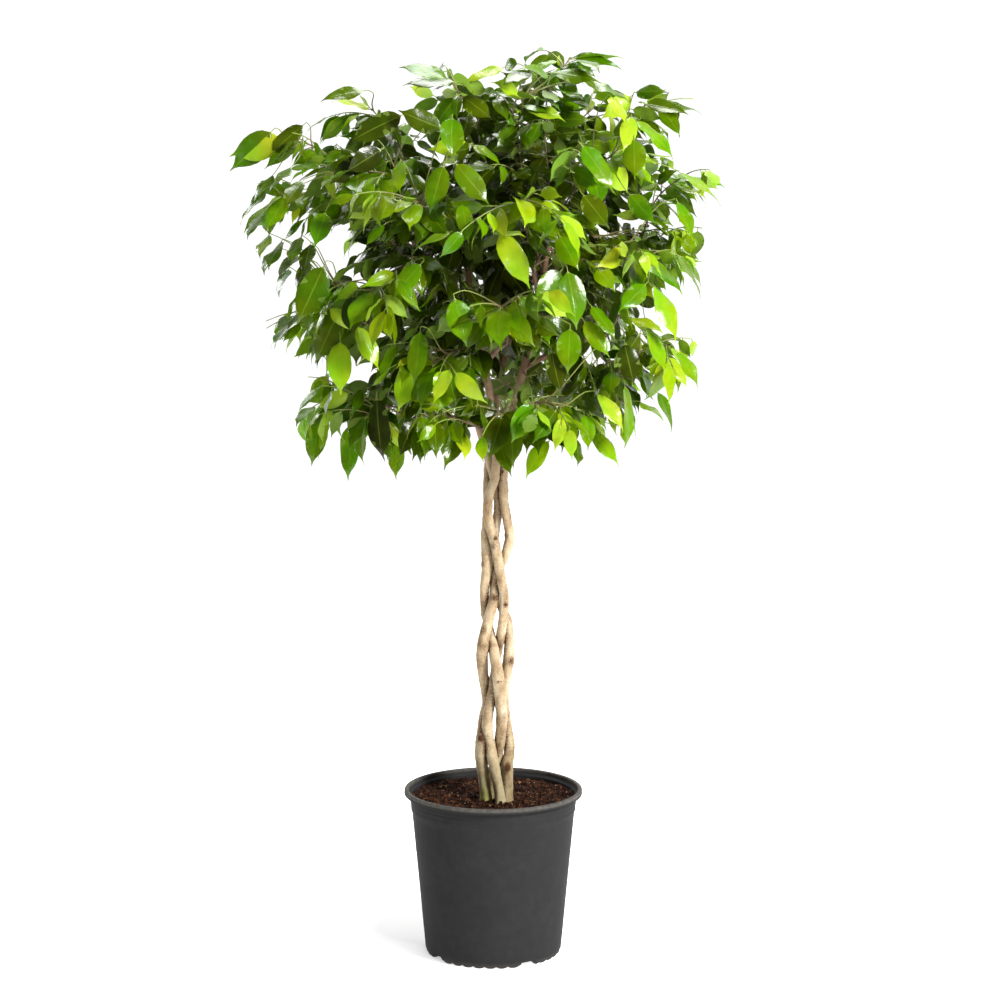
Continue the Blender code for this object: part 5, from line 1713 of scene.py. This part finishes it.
class FIG_OT_stage(bpy.types.Operator):
    """Set up the white floor, the soft lights, the white room and the camera"""

    bl_idname = "weeping_fig.stage"
    bl_label = "Studio"

    def execute(self, context):
        settings, scene = context.scene.fig_stage, context.scene
        angle = np.arange(FLOOR_SIDES) * 2 * math.pi / FLOOR_SIDES
        rim = np.stack([np.cos(angle), np.sin(angle), 0 * angle], axis=1) * FLOOR_REACH
        floor = build_mesh("studio_floor", [white_sweep(settings)], rim, [np.arange(FLOOR_SIDES)[None]])
        self.put(scene, "studio_floor", floor)
        for name, size, place_at, target in LIGHTS:
            lamp = bpy.data.lights.new(name, "AREA")
            lamp.shape = "DISK"
            lamp.size = size
            lamp.energy = getattr(settings, name.replace("light", "power"))
            light = self.put(scene, name, lamp)
            light.visible_camera = False
            light.location = place_at
            way = Vector(target) - light.location
            light.rotation_euler = way.to_track_quat("-Z", "Y").to_euler()
        self.white_room(scene, settings)
        view = bpy.data.cameras.new("camera")
        view.sensor_width = SENSOR
        view.lens = SENSOR * FOCAL_PIXELS / PHOTO_PIXELS
        view.shift_x = AXIS_SHIFT / PHOTO_PIXELS
        camera = self.put(scene, "camera", view)
        camera.location = (0.0, -settings.camera_distance, settings.camera_height)
        camera.rotation_euler = (math.pi / 2 - settings.camera_pitch, 0.0, 0.0)
        scene.camera = camera
        scene.view_settings.view_transform = "Standard"
        return {"FINISHED"}

    def put(self, scene, name, data):
        """A new object in the scene, for a mesh, a lamp or a camera."""
        item = bpy.data.objects.new(name, data)
        scene.collection.objects.link(item)
        return item

    def white_room(self, scene, settings):
        """A white room, dimmer on the camera's side: its light falls off from the back to the front."""
        world = bpy.data.worlds.new("white_room")
        scene.world = world
        world.use_nodes = True
        tree = world.node_tree
        tree.nodes.clear()
        dimmer = fade(tree, split(tree, here(tree))["Y"], *ROOM_FADE)
        light = work_out(tree, "MULTIPLY", dimmer, settings.room_light)
        soft = add_node(tree, "ShaderNodeBackground", {"Color": "FFFFFF", "Strength": light})
        white = add_node(tree, "ShaderNodeBackground", {"Color": "FFFFFF", "Strength": ROOM_SEEN})
        seen = add_node(tree, "ShaderNodeLightPath").outputs["Is Camera Ray"]
        mixed = add_node(tree, "ShaderNodeMixShader", {0: seen, 1: soft.outputs[0], 2: white.outputs[0]})
        add_node(tree, "ShaderNodeOutputWorld", {"Surface": mixed.outputs[0]})


class FIG_PT_panel(bpy.types.Panel):
    """The plant's settings and steps"""

    bl_label = "Weeping Fig"
    bl_space_type = "VIEW_3D"
    bl_region_type = "UI"
    bl_category = "Weeping Fig"

    def draw(self, context):
        for settings, steps in ((context.scene.fig_pot, (FIG_OT_pot, FIG_OT_mix)),
                                (context.scene.fig_plant, (FIG_OT_stems, FIG_OT_crown)),
                                (context.scene.fig_stage, (FIG_OT_stage,))):
            box = self.layout.box()
            for name in settings.__annotations__:
                box.prop(settings, name)
            for operator in steps:
                box.operator(operator.bl_idname)


SETTINGS = (("fig_pot", FigPotSettings), ("fig_plant", FigPlantSettings), ("fig_stage", FigStageSettings))
STEPS = (FIG_OT_pot, FIG_OT_mix, FIG_OT_stems, FIG_OT_crown, FIG_OT_stage)


def register():
    """Register the settings, the steps and the panel."""
    for name, group in SETTINGS:
        bpy.utils.register_class(group)
        setattr(bpy.types.Scene, name, bpy.props.PointerProperty(type=group))
    for step in (*STEPS, FIG_PT_panel):
        bpy.utils.register_class(step)


def unregister():
    """Take them back."""
    for step in (FIG_PT_panel, *reversed(STEPS)):
        bpy.utils.unregister_class(step)
    for name, group in reversed(SETTINGS):
        delattr(bpy.types.Scene, name)
        bpy.utils.unregister_class(group)


def main():
    """Register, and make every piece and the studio."""
    register()
    bpy.ops.weeping_fig.pot()
    bpy.ops.weeping_fig.mix()
    bpy.ops.weeping_fig.stems()
    bpy.ops.weeping_fig.crown()
    bpy.ops.weeping_fig.stage()


if __name__ == "__main__":
    main()
